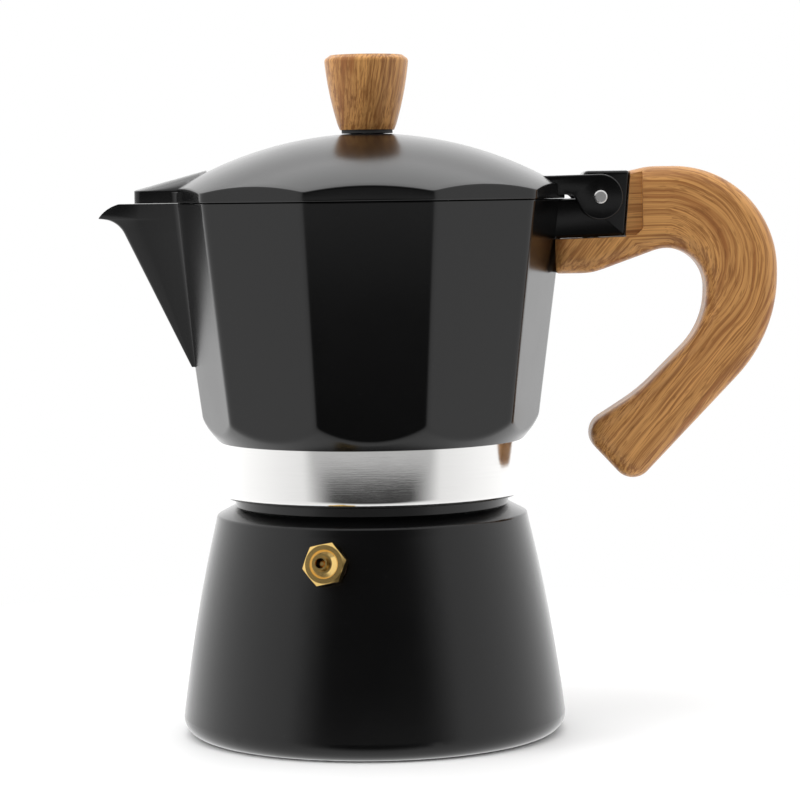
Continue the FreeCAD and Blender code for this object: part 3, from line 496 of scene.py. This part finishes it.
def wood_material(name, directions, base_scale=1.0, **constants):
    """Lacquered wood. directions gives the distances across, through and along the grain."""
    material, tree, shader = new_material(name, specular_ior_level=0.22, **constants)
    across, depth, along = directions(tree)
    coarse, fine, pores, cloud = grain_lines(tree, across, depth, along, base_scale)
    light, dark = finish_colour("wood_light"), finish_colour("wood_dark")
    ramp = add_node(tree, "ShaderNodeValToRGB", {0: coarse})
    stops = ramp.color_ramp.elements
    stops[0].position, stops[0].color = 0.36, dim(dark, 1.3)
    stops[1].position, stops[1].color = 0.64, dim(light, 1.1)
    stops.new(0.48).color = dim(light, 0.86)
    streaks = mixed(tree, spread(tree, fine, 0.85, 0.0, 0.40, 0.54), ramp.outputs[0], dark)
    toned = mixed(tree, spread(tree, cloud, 0.0, 0.35, 0.35, 0.7), streaks,
                  mixed(tree, 0.5, streaks, (0.40, 0.17, 0.06, 1.0)))
    dark_pores = spread(tree, pores, 0.45, 0.0, 0.30, 0.40)
    tree.links.new(mixed(tree, dark_pores, toned, dim(dark, 0.75)), shader.inputs["Base Color"])
    tree.links.new(spread(tree, fine, 0.30, 0.44, 0.3, 0.7), shader.inputs["Roughness"])
    tree.links.new(bump(tree, math_node(tree, "ADD", fine, pores), 0.10, 0.0002),
                   shader.inputs["Normal"])
    return material


def knob_directions(tree):
    """The knob's grain is upright and leans over to one side."""
    place = object_place(tree, rotation=(0, math.radians(-9), math.radians(20)))
    parts = add_node(tree, "ShaderNodeSeparateXYZ", {0: place}).outputs
    return parts[0], parts[1], parts[2]


GRIP_CENTRE = (0.0690, 0.1095)
GRIP_LEG = (-0.64, -0.768)


def handle_directions(tree):
    """The handle's grain goes round the bow and then straight along the leg and the neck."""
    place = add_node(tree, "ShaderNodeTexCoord").outputs["Object"]
    parts = add_node(tree, "ShaderNodeSeparateXYZ", {0: place}).outputs
    out = math_node(tree, "SUBTRACT", parts[0], GRIP_CENTRE[0])
    up = math_node(tree, "SUBTRACT", parts[2], GRIP_CENTRE[1])
    down_leg = math_node(tree, "ADD", math_node(tree, "MULTIPLY", out, GRIP_LEG[0]),
                         math_node(tree, "MULTIPLY", up, GRIP_LEG[1]))
    past_leg = math_node(tree, "MAXIMUM", down_leg, 0.0)
    out = math_node(tree, "SUBTRACT", out, math_node(tree, "MULTIPLY", past_leg, GRIP_LEG[0]))
    up = math_node(tree, "SUBTRACT", up, math_node(tree, "MULTIPLY", past_leg, GRIP_LEG[1]))
    above = math_node(tree, "GREATER_THAN", up, 0.0)
    past_neck = math_node(tree, "MULTIPLY", above, math_node(tree, "MINIMUM", out, 0.0))
    out = math_node(tree, "SUBTRACT", out, math_node(tree, "MULTIPLY", past_neck, 0.75))
    flat = add_node(tree, "ShaderNodeCombineXYZ", {0: out, 1: up}).outputs[0]
    across = add_node(tree, "ShaderNodeVectorMath", {0: flat}, operation="LENGTH").outputs["Value"]
    turn = math_node(tree, "ARCTAN2", up, out)
    round_bow = math_node(tree, "MULTIPLY", turn, -0.024)
    along = math_node(tree, "ADD", round_bow, math_node(tree, "SUBTRACT", past_leg, past_neck))
    return across, parts[1], along


def soft_plastic(name, tint, low, high, grain=700.0, depth=0.15, **constants):
    """Moulded plastic, rubber or fibre, with a fine matt grain."""
    material, tree, shader = new_material(name, **constants)
    base = finish_colour(tint)
    place = object_place(tree)
    cloud = noise(tree, place, 80.0, 3.0)
    fine = noise(tree, place, grain, 3.0, 0.6)
    tree.links.new(mixed(tree, cloud, dim(base, 0.85), dim(base, 1.0)), shader.inputs["Base Color"])
    tree.links.new(spread(tree, fine, low, high, 0.3, 0.7), shader.inputs["Roughness"])
    tree.links.new(bump(tree, fine, depth, 0.0001), shader.inputs["Normal"])
    return material


def shared(name, make):
    """A material by name, made the first time that it is asked for."""
    return bpy.data.materials.get(name) or make(name)


def dress(node, material):
    """Gives every slot of a CAD node a material."""
    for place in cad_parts[node].material_slots:
        place.material = material


def aluminium_sheet(name):
    return turned_metal(name, "aluminium", 0.24, 0.38, 0.05)


def polished_band(name):
    return turned_metal(name, "aluminium", 0.08, 0.17, 0.05, 0.9)


def turned_brass(name):
    return turned_metal(name, "brass", 0.16, 0.30, 0.08)


def plated_steel(name):
    return turned_metal(name, "steel", 0.20, 0.34, 0.06)


# ---------------------------------------------------------------- collector

CHAMFER_BULGE = 0.29
CHAMFER_ROW = 0.2
COLLECTOR_COLUMNS = 30
PAINT, BAND, INSIDE = 0, 1, 2


def corner_at(size, height):
    """The collector's corner radius at a height: its sides lean straight outwards."""
    lean = (size["rim_corner"] - size["side_foot_corner"]) / (size["rim_height"] - size["side_foot"])
    return size["side_foot_corner"] + lean * (height - size["side_foot"])


def inner_corner_at(size, height):
    return corner_at(size, height) - size["side_wall"] / math.cos(STEP / 2)


def collector_section(size):
    """The collector's section, from the top of its riser's bore round to the riser's cap."""
    rim, floor = size["rim_height"], size["floor_height"]
    side = []
    height = size["band_top"]
    while height < size["chamfer_top"] + 2:
        side.append((corner_at(size, height), height))
        height += CHAMFER_ROW
    return rounded([
        (0, 110.5), (3.2, 110.5), (5.6, 75.8, 3), (9.6, 71.4, 3), (24.8, 68.8, 1), (32.75, 68.8, 0.4),
        (32.75, size["band_foot"], 0.5), (size["band_radius"], size["band_foot"], 1.8),
        (size["band_radius"], size["band_top"]), *side,
        (size["rim_corner"], rim, 0.35), (inner_corner_at(size, rim), rim, 0.35),
        (inner_corner_at(size, floor), floor, 3), (13.6, floor, 2), (8.6, floor + 4, 3),
        (5.8, 112, 0.8), (4.8, 113, 0.4), (0, 113),
    ])


def shape_sides(bm, size):
    """Gives the collector its flat sides, and the turned chamfer under them."""
    softness = size["corner_softness"] / size["rim_corner"]
    rise = size["chamfer_top"] - size["band_top"]
    foot_radius = size["band_radius"] + 0.05
    for vert in bm.verts:
        radius, height = math.hypot(vert.co.x, vert.co.y), vert.co.z
        outside = height > size["band_top"] - 0.01 and radius > size["side_foot_corner"] - 0.2
        inside = height > size["floor_height"] - 0.5 and radius > 25
        if not (outside or inside):
            continue
        share = side_share(math.atan2(vert.co.y, vert.co.x), softness)
        flat = radius * (1 + (share - 1) * min(1, (radius - 25) / 8))
        if height < size["chamfer_top"] + 2.5 and outside and not (
                inside and radius < corner_at(size, height) - 1):
            level = (height - size["band_top"]) / rise
            chamfer = foot_radius + (size["chamfer_radius"] - foot_radius) * level
            chamfer += CHAMFER_BULGE * 4 * level * (1 - level)
            flat = soft_min(flat, chamfer, 0.45)
        set_radius(vert, flat)


def paint_by_place(bm, size):
    """Marks what stays bare: the band, the underside, and the middles of the chamber's flat walls."""
    for face in bm.faces:
        middle = face.calc_center_median()
        radius = math.hypot(middle.x, middle.y)
        wall_middle = inner_corner_at(size, middle.z) * math.cos(STEP / 2) + 0.4
        if middle.z < size["band_top"] - 0.01:
            face.material_index = BAND if radius > size["band_radius"] - 1.9 else INSIDE
        elif middle.z < size["rim_height"] - 0.6 and radius < wall_middle:
            face.material_index = INSIDE


SPOUT_ROOT = 38.0
SPOUT_FOOT = (42.2, 87.0)
SPOUT_KNEE = (58.9, 121.6)
LIP_FOOT = 122.2


def spine_at(height):
    """How far the spout's straight front edge stands out at a height."""
    (foot_out, foot), (knee_out, knee) = SPOUT_FOOT, SPOUT_KNEE
    return foot_out + (knee_out - foot_out) / (knee - foot) * (height - foot)


def spout_ring(size, height, reach, inset):
    """The spout's outline at a height: a wedge with a rounded nose and hollow roots."""
    rise = (height - SPOUT_FOOT[1]) / (size["rim_height"] - SPOUT_FOOT[1])
    half = 2.4 + 6.6 * rise - inset
    blunt = max(0.45 + 1.1 * rise - inset * 0.35, 0.25)
    reach -= inset * 1.5

    def wall_x(across, out):
        flat = corner_at(size, height) * math.cos(STEP / 2) + out
        return -(flat - across * math.sin(STEP / 2)) / math.cos(STEP / 2)

    spine = min(reach, spine_at(height))
    slope = (half - blunt) / (spine - SPOUT_ROOT)
    bend = 0.4 * corner_at(size, height) + 0.6 * spine
    bend_half = half - slope * (bend - SPOUT_ROOT)
    across = half - slope * (-wall_x(half, 0) - SPOUT_ROOT)
    across = half - slope * (-wall_x(max(across, blunt), 0) - SPOUT_ROOT)
    across = max(across, blunt * 0.9)
    hollow = max(0.05, min(2.2, (reach - corner_at(size, height)) * 0.35))
    if inset:
        behind = -size["side_wall"] - 1.5
        outline = [
            (wall_x(0, behind), 0), (wall_x(across, behind), across), (-reach, blunt, blunt * 0.9),
            (-reach, -blunt, blunt * 0.9), (wall_x(across, behind), -across),
        ]
    else:
        flare = across + hollow * 0.9
        outline = [
            (wall_x(0, -1.3), 0), (wall_x(flare, -1.3), flare + 0.3), (wall_x(flare, 0.03), flare),
            (wall_x(across, 0.03), across, hollow), (-bend, bend_half), (-reach, blunt, blunt * 0.9),
            (-reach, -blunt, blunt * 0.9), (-bend, -bend_half), (wall_x(across, 0.03), -across, hollow),
            (wall_x(flare, 0.03), -flare), (wall_x(flare, -1.3), -flare - 0.3),
        ]
    return [(x, y, height) for x, y in rounded(outline)]


def spout_solid(size, inset=0.0, top=1.5):
    """The spout, or the channel in it when it is drawn in by a wall."""
    reach = size["spout_reach"]
    front = rounded([
        SPOUT_FOOT, (*SPOUT_KNEE, 6.0), (reach, LIP_FOOT), (reach, size["rim_height"] + top)], 10)
    if inset:
        front = [(out, height) for out, height in front if height > 90.0 + inset]
        front[-1] = (front[-1][0] + 6, front[-1][1])
        front[-2] = (front[-2][0] + 4, front[-2][1] + 0.6)
    return loft([spout_ring(size, height, out, inset) for out, height in front])


def lug_solid(size):
    """The block behind the collector that carries the hinge pin and the handle's screw."""
    top = size["rim_height"]
    outline = rounded([
        (41.5, 116.2), (60, 116.7, 0.6), (61.3, 132, 0.8), (50.4, 132, 1.2), (50.4, 128.5, 1.5),
        (49, top, 0.6), (43.5, top - 0.1)], 5)
    return plate(outline, -5.8, 5.8, soft=0.7)


def mouth_cut(size):
    """What is cut from over the spout: flat at the rim, then a round fall to the tip."""
    rim, reach = size["rim_height"], size["spout_reach"]
    steps = 14
    start, end = Vector((-58.6, rim)), Vector((-reach - 0.05, LIP_FOOT + 0.05))
    across = end - start
    bulge = Vector((across.y, -across.x)).normalized() * 0.52
    bulge = bulge if bulge.y > 0 else -bulge
    fall = [start + across * (i / steps) + bulge * (4 * (i / steps) * (1 - i / steps))
            for i in range(steps + 1)]
    outline = [(-50, rim), *[tuple(point) for point in fall], (-75, LIP_FOOT + 0.05), (-75, rim + 9),
               (-50, rim + 9)]
    return plate(outline, -16, 16)


def make_collector(size):
    bm = turned(collector_section(size), SIDES * COLLECTOR_COLUMNS, closed=False)
    crowd_to_corners(bm)
    shape_sides(bm, size)
    paint_by_place(bm, size)
    piece = new_object("collector_casting", bm)
    for name, make in (("satin_black_paint", satin_paint), ("polished_band", polished_band),
                       ("cast_aluminium", cast_aluminium)):
        piece.data.materials.append(shared(name, make))
    combine(piece, spout_solid(size), "UNION", PAINT)
    combine(piece, lug_solid(size), "UNION", PAINT)
    above_rim = plate([(-70, size["rim_height"]), (-44.3, size["rim_height"]),
                       (-44.3, size["rim_height"] + 9), (-70, size["rim_height"] + 9)], -16, 16)
    combine(piece, above_rim, "DIFFERENCE", PAINT)
    combine(piece, spout_solid(size, 1.6, 2.5), "DIFFERENCE", INSIDE)
    combine(piece, mouth_cut(size), "DIFFERENCE", PAINT)
    combine(piece, rod(2.0, (0, 0, 108.5), 10, "Y", 24), "DIFFERENCE", INSIDE)
    combine(piece, rod(1.25, (size["pin_reach"], 0, size["pin_height"]), 20, "Y", 32), "DIFFERENCE", INSIDE)
    combine(piece, rod(2.0, (52.4, 0, 116.2), 9.5, "Z", 24), "DIFFERENCE", INSIDE)
    return finish_piece(piece, "collector", ["collector"])


# ---------------------------------------------------------------- lid

LID_COLUMNS = 24
LID_HOLLOW = 42.0
DOME_ROWS = 26


def dome_height(size, radius, drop=0.0):
    """The height of the lid's dome at a distance from the axis."""
    curve = size["dome_curve"]
    return size["dome_top"] - drop - (curve - math.sqrt(curve * curve - radius * radius))


def lid_section(size):
    """The lid's section, from the crown's outside round the rim to the hollow's middle."""
    foot, corner, wall = size["lid_foot"], size["lid_corner"], size["lid_wall"]
    reaches = [corner * (row / DOME_ROWS) ** 0.8 for row in range(1, DOME_ROWS)]
    dome = [(reach, dome_height(size, reach)) for reach in reaches if reach < corner - 0.7]
    edge = dome_height(size, corner)
    reaches = [LID_HOLLOW * row / 10 for row in range(9, 1, -1)]
    roof = [(reach, dome_height(size, reach, wall)) for reach in reaches]
    return rounded([
        (1.6, dome_height(size, 1.6)), *dome, (corner, edge, 0.45), (corner, foot + 0.9),
        (corner, foot, 0.3), (LID_HOLLOW, foot, 0.3),
        (LID_HOLLOW, dome_height(size, LID_HOLLOW, wall), 1.2), *roof,
        (4.6, dome_height(size, 4.6, wall), 0.6), (4, 136.2, 0.3), (1.6, 136.2)])


def shape_lid(bm, size):
    """Gives the lid its flat skirt, while its dome keeps its curve."""
    softness = size["corner_softness"] / size["lid_corner"]
    foot = size["lid_foot"]
    for vert in bm.verts:
        radius = math.hypot(vert.co.x, vert.co.y)
        over = vert.co.z > dome_height(size, radius) - 0.8
        if radius < 10 or not (over or radius > LID_HOLLOW + 0.5):
            continue
        share = side_share(math.atan2(vert.co.y, vert.co.x), softness)
        new_radius = radius * (1 + (share - 1) * min(1, (radius - 10) / 30))
        level = (vert.co.z - foot) / (dome_height(size, radius) - foot)
        vert.co.z += max(0, level) * (dome_height(size, new_radius) - dome_height(size, radius))
        set_radius(vert, new_radius)


COVER_TOP = {"side": 128.55, "tip": 128.85, "root": 133.3}
COVER_CORNER = 1.8
COVER_STEPS = 29


def spout_cover(size):
    """The tongue of the lid that covers the spout: low sides and a rounded roof up to the dome."""
    reach, foot, side_top = -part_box("lid")[0].x / MM, size["lid_foot"], COVER_TOP["side"]
    rings = []
    for step in range(COVER_STEPS + 1):
        share = (step / COVER_STEPS) ** 1.8
        back = (reach - SPOUT_ROOT) * share
        in_corner = max(0.0, COVER_CORNER - back)
        half = 7.6 + 0.4 * share - (COVER_CORNER - math.sqrt(COVER_CORNER ** 2 - in_corner ** 2))
        over_side = COVER_TOP["tip"] + (COVER_TOP["root"] - COVER_TOP["tip"]) * share - side_top
        roof = [(half * math.cos(math.radians(angle)),
                 side_top + over_side * math.sin(math.radians(angle)) ** 1.4)
                for angle in range(10, 171, 10)]
        outline = rounded([
            (-half, foot), (half, foot), (half, side_top, 0.4), *roof, (-half, side_top, 0.4)], 4)
        rings.append([(back - reach, across, height) for across, height in outline])
    return loft(rings)


def cover_roots(size):
    """The hollow roots that join the spout's cover to the lid's flat sides."""
    half = [(-38, 12.5), (-43.0, 10.6), (-44.9, 8.2, 2.0), (-47.5, 7.3)]
    outline = rounded([*half, *[(x, -y, *more) for x, y, *more in reversed(half)]])
    return plate(outline, size["lid_foot"], 128.3, "Z", soft=0.25)


EAR_RADIUS = 5.3
EAR_FOOT = 126.5
EAR_INSIDE, EAR_OUTSIDE = 6.15, 8.75


def ear_solid(size, side):
    """One of the lid's two hinge ears, with its round knuckle about the pin."""
    reach, height = size["pin_reach"], size["pin_height"]
    turns = [math.radians(angle) for angle in range(-150, 91, 8)]
    knuckle = [(reach + EAR_RADIUS * math.cos(turn), height + EAR_RADIUS * math.sin(turn))
               for turn in turns]
    hollow = rounded([
        (reach - 7.5, EAR_FOOT), (reach - 6.3, EAR_FOOT, 1.5),
        (reach - EAR_RADIUS * 0.94, height - EAR_RADIUS + 3.2)], 4)[1:-1]
    outline = [(38, height + EAR_RADIUS - 0.3), (38, EAR_FOOT), *hollow, *knuckle]
    near, far = sorted((side * EAR_INSIDE, side * EAR_OUTSIDE))
    return plate(outline, near, far, soft=0.35)


def make_lid(size):
    bm = turned(lid_section(size), SIDES * LID_COLUMNS)
    crowd_to_corners(bm)
    shape_lid(bm, size)
    for face in bm.faces:
        middle = face.calc_center_median()
        radius = math.hypot(middle.x, middle.y)
        under = middle.z < dome_height(size, radius) - 0.9 and radius < LID_HOLLOW - 0.2
        face.material_index = 1 if under else 0
    piece = new_object("lid_casting", bm)
    for name, make in (("satin_black_paint", satin_paint), ("cast_aluminium", cast_aluminium)):
        piece.data.materials.append(shared(name, make))
    combine(piece, cover_roots(size), "UNION")
    combine(piece, spout_cover(size), "UNION")
    for side in (-1, 1):
        combine(piece, ear_solid(size, side), "UNION")
    gap = plate([(46.2, 117), (70, 117), (70, 144), (46.2, 144)], -EAR_INSIDE, EAR_INSIDE)
    combine(piece, gap, "DIFFERENCE")
    low, wall = size["lid_foot"] - 2, size["lid_wall"]
    hollow = turned([
        (0.0, low), (LID_HOLLOW - 0.15, low),
        (LID_HOLLOW - 0.15, dome_height(size, LID_HOLLOW, wall) - 0.6),
        (30.0, dome_height(size, 30.0, wall) - 0.2), (12.0, 136.0), (0.0, 136.0)], 120, False)
    combine(piece, hollow, "DIFFERENCE", 1)
    combine(piece, rod(1.3, (size["pin_reach"], 0, size["pin_height"]), 20, "Y", 32), "DIFFERENCE")
    return finish_piece(piece, "lid", ["lid"])


# ---------------------------------------------------------------- stage

CAMERA_PLACE = Vector((-0.00148, -0.71539, 0.12794))
CAMERA_TARGET = Vector((0.00692, -0.00008, 0.07848))
CAMERA_ROLL = math.radians(-0.747)
CAMERA_LENS = 136.25
FLOOR_RADIUS = 0.30


def add_camera():
    data = bpy.data.cameras.new("camera")
    data.lens = CAMERA_LENS
    data.sensor_width = 36.0
    data.clip_start, data.clip_end = 0.01, 50.0
    camera = bpy.data.objects.new("camera", data)
    bpy.context.scene.collection.objects.link(camera)
    turn = (CAMERA_TARGET - CAMERA_PLACE).to_track_quat("-Z", "Y").to_matrix()
    camera.matrix_world = (Matrix.Translation(CAMERA_PLACE)
                           @ (turn @ Matrix.Rotation(CAMERA_ROLL, 3, "Z")).to_4x4())
    bpy.context.scene.camera = camera


def add_light(name, place, target, size_x, size_y, watts, mirrored=False):
    """A soft panel. It is either seen only in shiny surfaces or it only lights dull ones."""
    data = bpy.data.lights.new(name, "AREA")
    data.shape = "RECTANGLE"
    data.size, data.size_y = size_x, size_y
    data.energy = watts
    light = bpy.data.objects.new(name, data)
    bpy.context.scene.collection.objects.link(light)
    light.location = place
    light.rotation_mode = "QUATERNION"
    light.rotation_quaternion = (Vector(target) - Vector(place)).to_track_quat("-Z", "Y")
    light.visible_glossy = mirrored
    light.visible_diffuse = not mirrored


def add_floor():
    """A round pale floor that fades into the surroundings."""
    bm = bmesh.new()
    bmesh.ops.create_circle(bm, cap_ends=True, segments=96, radius=FLOOR_RADIUS)
    floor = new_object("floor", bm)
    material, tree, shader = new_material("pale_floor", roughness=0.6, specular_ior_level=0.2)
    shader.inputs["Base Color"].default_value = finish_colour("floor")
    reach, _, _ = distance_from_axis(tree)
    fade = spread(tree, reach, 0.0, 1.0, 0.09, FLOOR_RADIUS * 0.85)
    glow = add_node(tree, "ShaderNodeEmission", {"Color": (1, 1, 1, 1), "Strength": 1.0})
    mix = add_node(tree, "ShaderNodeMixShader", {0: fade, 1: shader.outputs[0], 2: glow.outputs[0]})
    tree.links.new(mix.outputs[0], tree.nodes["Material Output"].inputs["Surface"])
    floor.data.materials.append(material)
    floor.visible_glossy = False


# brightness of the room from behind the camera (-1) to behind the pot (1)
ROOM_LEVELS = ((-1.0, 0.05), (-0.85, 0.05), (-0.6, 1.0), (1.0, 1.5))
TABLE_LEVEL = 0.6


def level_ramp(tree, value, levels):
    """A grey that follows a list of (value from -1 to 1, brightness) pairs."""
    ramp = add_node(tree, "ShaderNodeValToRGB", {0: spread(tree, value, 0.0, 1.0, -1.0, 1.0)})
    stops = ramp.color_ramp.elements
    for stop, (_, level) in zip(stops, (levels[0], levels[-1])):
        stop.color = (level, level, level, 1)
    for place, level in levels[1:-1]:
        stops.new((place + 1) / 2).color = (level, level, level, 1)
    return ramp.outputs[0]


def add_surroundings():
    """White for the eye. The room is pale round the pot and dim in front, over a pale table."""
    world = bpy.data.worlds.new("studio")
    bpy.context.scene.world = world
    world.use_nodes = True
    tree = world.node_tree
    tree.nodes.clear()
    way = add_node(tree, "ShaderNodeTexCoord").outputs["Generated"]
    parts = add_node(tree, "ShaderNodeSeparateXYZ", {0: way}).outputs
    off_level = math_node(tree, "ABSOLUTE", math_node(tree, "ADD", parts[2], 0.07))
    table = spread(tree, off_level, TABLE_LEVEL, 0.0, 0.06, 0.12)
    room = math_node(tree, "MAXIMUM", level_ramp(tree, parts[1], ROOM_LEVELS), table)
    studio = add_node(tree, "ShaderNodeBackground", {0: room, 1: 1.0})
    white = add_node(tree, "ShaderNodeBackground", {0: (1, 1, 1, 1), 1: 1.0})
    eye = add_node(tree, "ShaderNodeLightPath").outputs["Is Camera Ray"]
    mix = add_node(tree, "ShaderNodeMixShader", {0: eye, 1: studio.outputs[0], 2: white.outputs[0]})
    end = add_node(tree, "ShaderNodeOutputWorld")
    tree.links.new(mix.outputs[0], end.inputs["Surface"])


def make_stage():
    add_camera()
    add_floor()
    add_surroundings()
    middle = (0, 0, 0.08)
    add_light("left_panel", (-0.50, -0.25, 0.40), middle, 0.30, 0.50, 1.5)
    add_light("right_panel", (0.56, 0.06, 0.26), middle, 0.20, 0.50, 0.4)
    add_light("top_panel", (-0.05, -0.25, 0.80), middle, 0.60, 0.40, 1.5)
    add_light("lid_panel", (0.0, 0.42, 0.86), (0, 0, 0.13), 0.90, 0.50, 1.3, True)
    bpy.context.scene.view_settings.view_transform = "Standard"


# ---------------------------------------------------------------- operators and panel

class MOKA_OT_stage(bpy.types.Operator):
    """Adds the camera, the pale floor and the soft light"""
    bl_idname = "moka.stage"
    bl_label = "Stage"

    def execute(self, context):
        make_stage()
        return {"FINISHED"}


class MOKA_OT_boiler(bpy.types.Operator):
    """Finishes the boiler with paint outside and on its neck up to the thread, where the black is partly
    painted shade, and bare metal on its thread and inside
    """
    bl_idname = "moka.boiler"
    bl_label = "Boiler"

    def execute(self, context):
        dress("boiler", shared("boiler_paint_and_metal", boiler_finish))
        return {"FINISHED"}


class MOKA_OT_valve(bpy.types.Operator):
    """Finishes the safety valve's body, seat, plunger, spring and washer"""
    bl_idname = "moka.valve"
    bl_label = "Safety valve"

    def execute(self, context):
        for node in ("valve_body", "valve_seat", "valve_plunger"):
            dress(node, shared("turned_brass", turned_brass))
        dress("valve_spring", shared("plated_steel", plated_steel))
        dress("valve_washer", shared("red_fibre", lambda name: soft_plastic(name, "fibre", 0.6, 0.8)))
        return {"FINISHED"}


class MOKA_OT_brewing(bpy.types.Operator):
    """Finishes the funnel, the two screens and the seal ring"""
    bl_idname = "moka.brewing"
    bl_label = "Funnel, screens and seal"

    def execute(self, context):
        for node in ("funnel", "funnel_screen", "filter_plate"):
            dress(node, shared("aluminium_sheet", aluminium_sheet))
        dress("gasket", shared("silicone_ring", lambda name: soft_plastic(
            name, "silicone", 0.42, 0.6, subsurface_weight=0.15)))
        return {"FINISHED"}


class MOKA_OT_collector(bpy.types.Operator):
    """Builds the faceted collector with its band, spout and hinge lug"""
    bl_idname = "moka.collector"
    bl_label = "Collector"

    def execute(self, context):
        make_collector(sizes())
        return {"FINISHED"}


class MOKA_OT_lid(bpy.types.Operator):
    """Builds the domed lid with its spout cover and hinge ears"""
    bl_idname = "moka.lid"
    bl_label = "Lid"

    def execute(self, context):
        make_lid(sizes())
        dress("hinge_pin", shared("aluminium_sheet", aluminium_sheet))
        return {"FINISHED"}


class MOKA_OT_knob(bpy.types.Operator):
    """Finishes the knob, its spacer and the screw, washer and insert that hold it"""
    bl_idname = "moka.knob"
    bl_label = "Knob"

    def execute(self, context):
        dress("knob", shared("knob_wood", lambda name: wood_material(name, knob_directions)))
        dress("knob_spacer", shared("black_plastic", lambda name: soft_plastic(name, "plastic", 0.35, 0.5)))
        dress("knob_insert", shared("turned_brass", turned_brass))
        for node in ("knob_washer", "knob_screw"):
            dress(node, shared("plated_steel", plated_steel))
        return {"FINISHED"}


class MOKA_OT_handle(bpy.types.Operator):
    """Finishes the handle and the screw and washer that hold it"""
    bl_idname = "moka.handle"
    bl_label = "Handle"

    def execute(self, context):
        dress("handle", shared("handle_wood", lambda name: wood_material(name, handle_directions)))
        for node in ("handle_washer", "handle_screw"):
            dress(node, shared("plated_steel", plated_steel))
        return {"FINISHED"}


OPERATORS = (MOKA_OT_stage, MOKA_OT_boiler, MOKA_OT_valve, MOKA_OT_brewing, MOKA_OT_collector,
             MOKA_OT_lid, MOKA_OT_knob, MOKA_OT_handle)


class MOKA_PT_panel(bpy.types.Panel):
    """The pot's pieces, sizes and finishes"""
    bl_idname = "MOKA_PT_panel"
    bl_label = "Moka Pot"
    bl_space_type = "VIEW_3D"
    bl_region_type = "UI"
    bl_category = "Moka Pot"

    def draw(self, context):
        for operator in OPERATORS:
            self.layout.operator(operator.bl_idname)
        for group in (context.scene.moka_sizes, context.scene.moka_finishes):
            box = self.layout.box()
            for name in type(group).__annotations__:
                box.prop(group, name)


CLASSES = (MokaSizes, MokaFinishes, *OPERATORS, MOKA_PT_panel)


def register():
    for part in CLASSES:
        bpy.utils.register_class(part)
    bpy.types.Scene.moka_sizes = bpy.props.PointerProperty(type=MokaSizes)
    bpy.types.Scene.moka_finishes = bpy.props.PointerProperty(type=MokaFinishes)


def unregister():
    del bpy.types.Scene.moka_finishes
    del bpy.types.Scene.moka_sizes
    for part in reversed(CLASSES):
        bpy.utils.unregister_class(part)


def main():
    register()
    for operator in OPERATORS:
        group, name = operator.bl_idname.split(".")
        getattr(getattr(bpy.ops, group), name)()


if __name__ == "__main__":
    main()
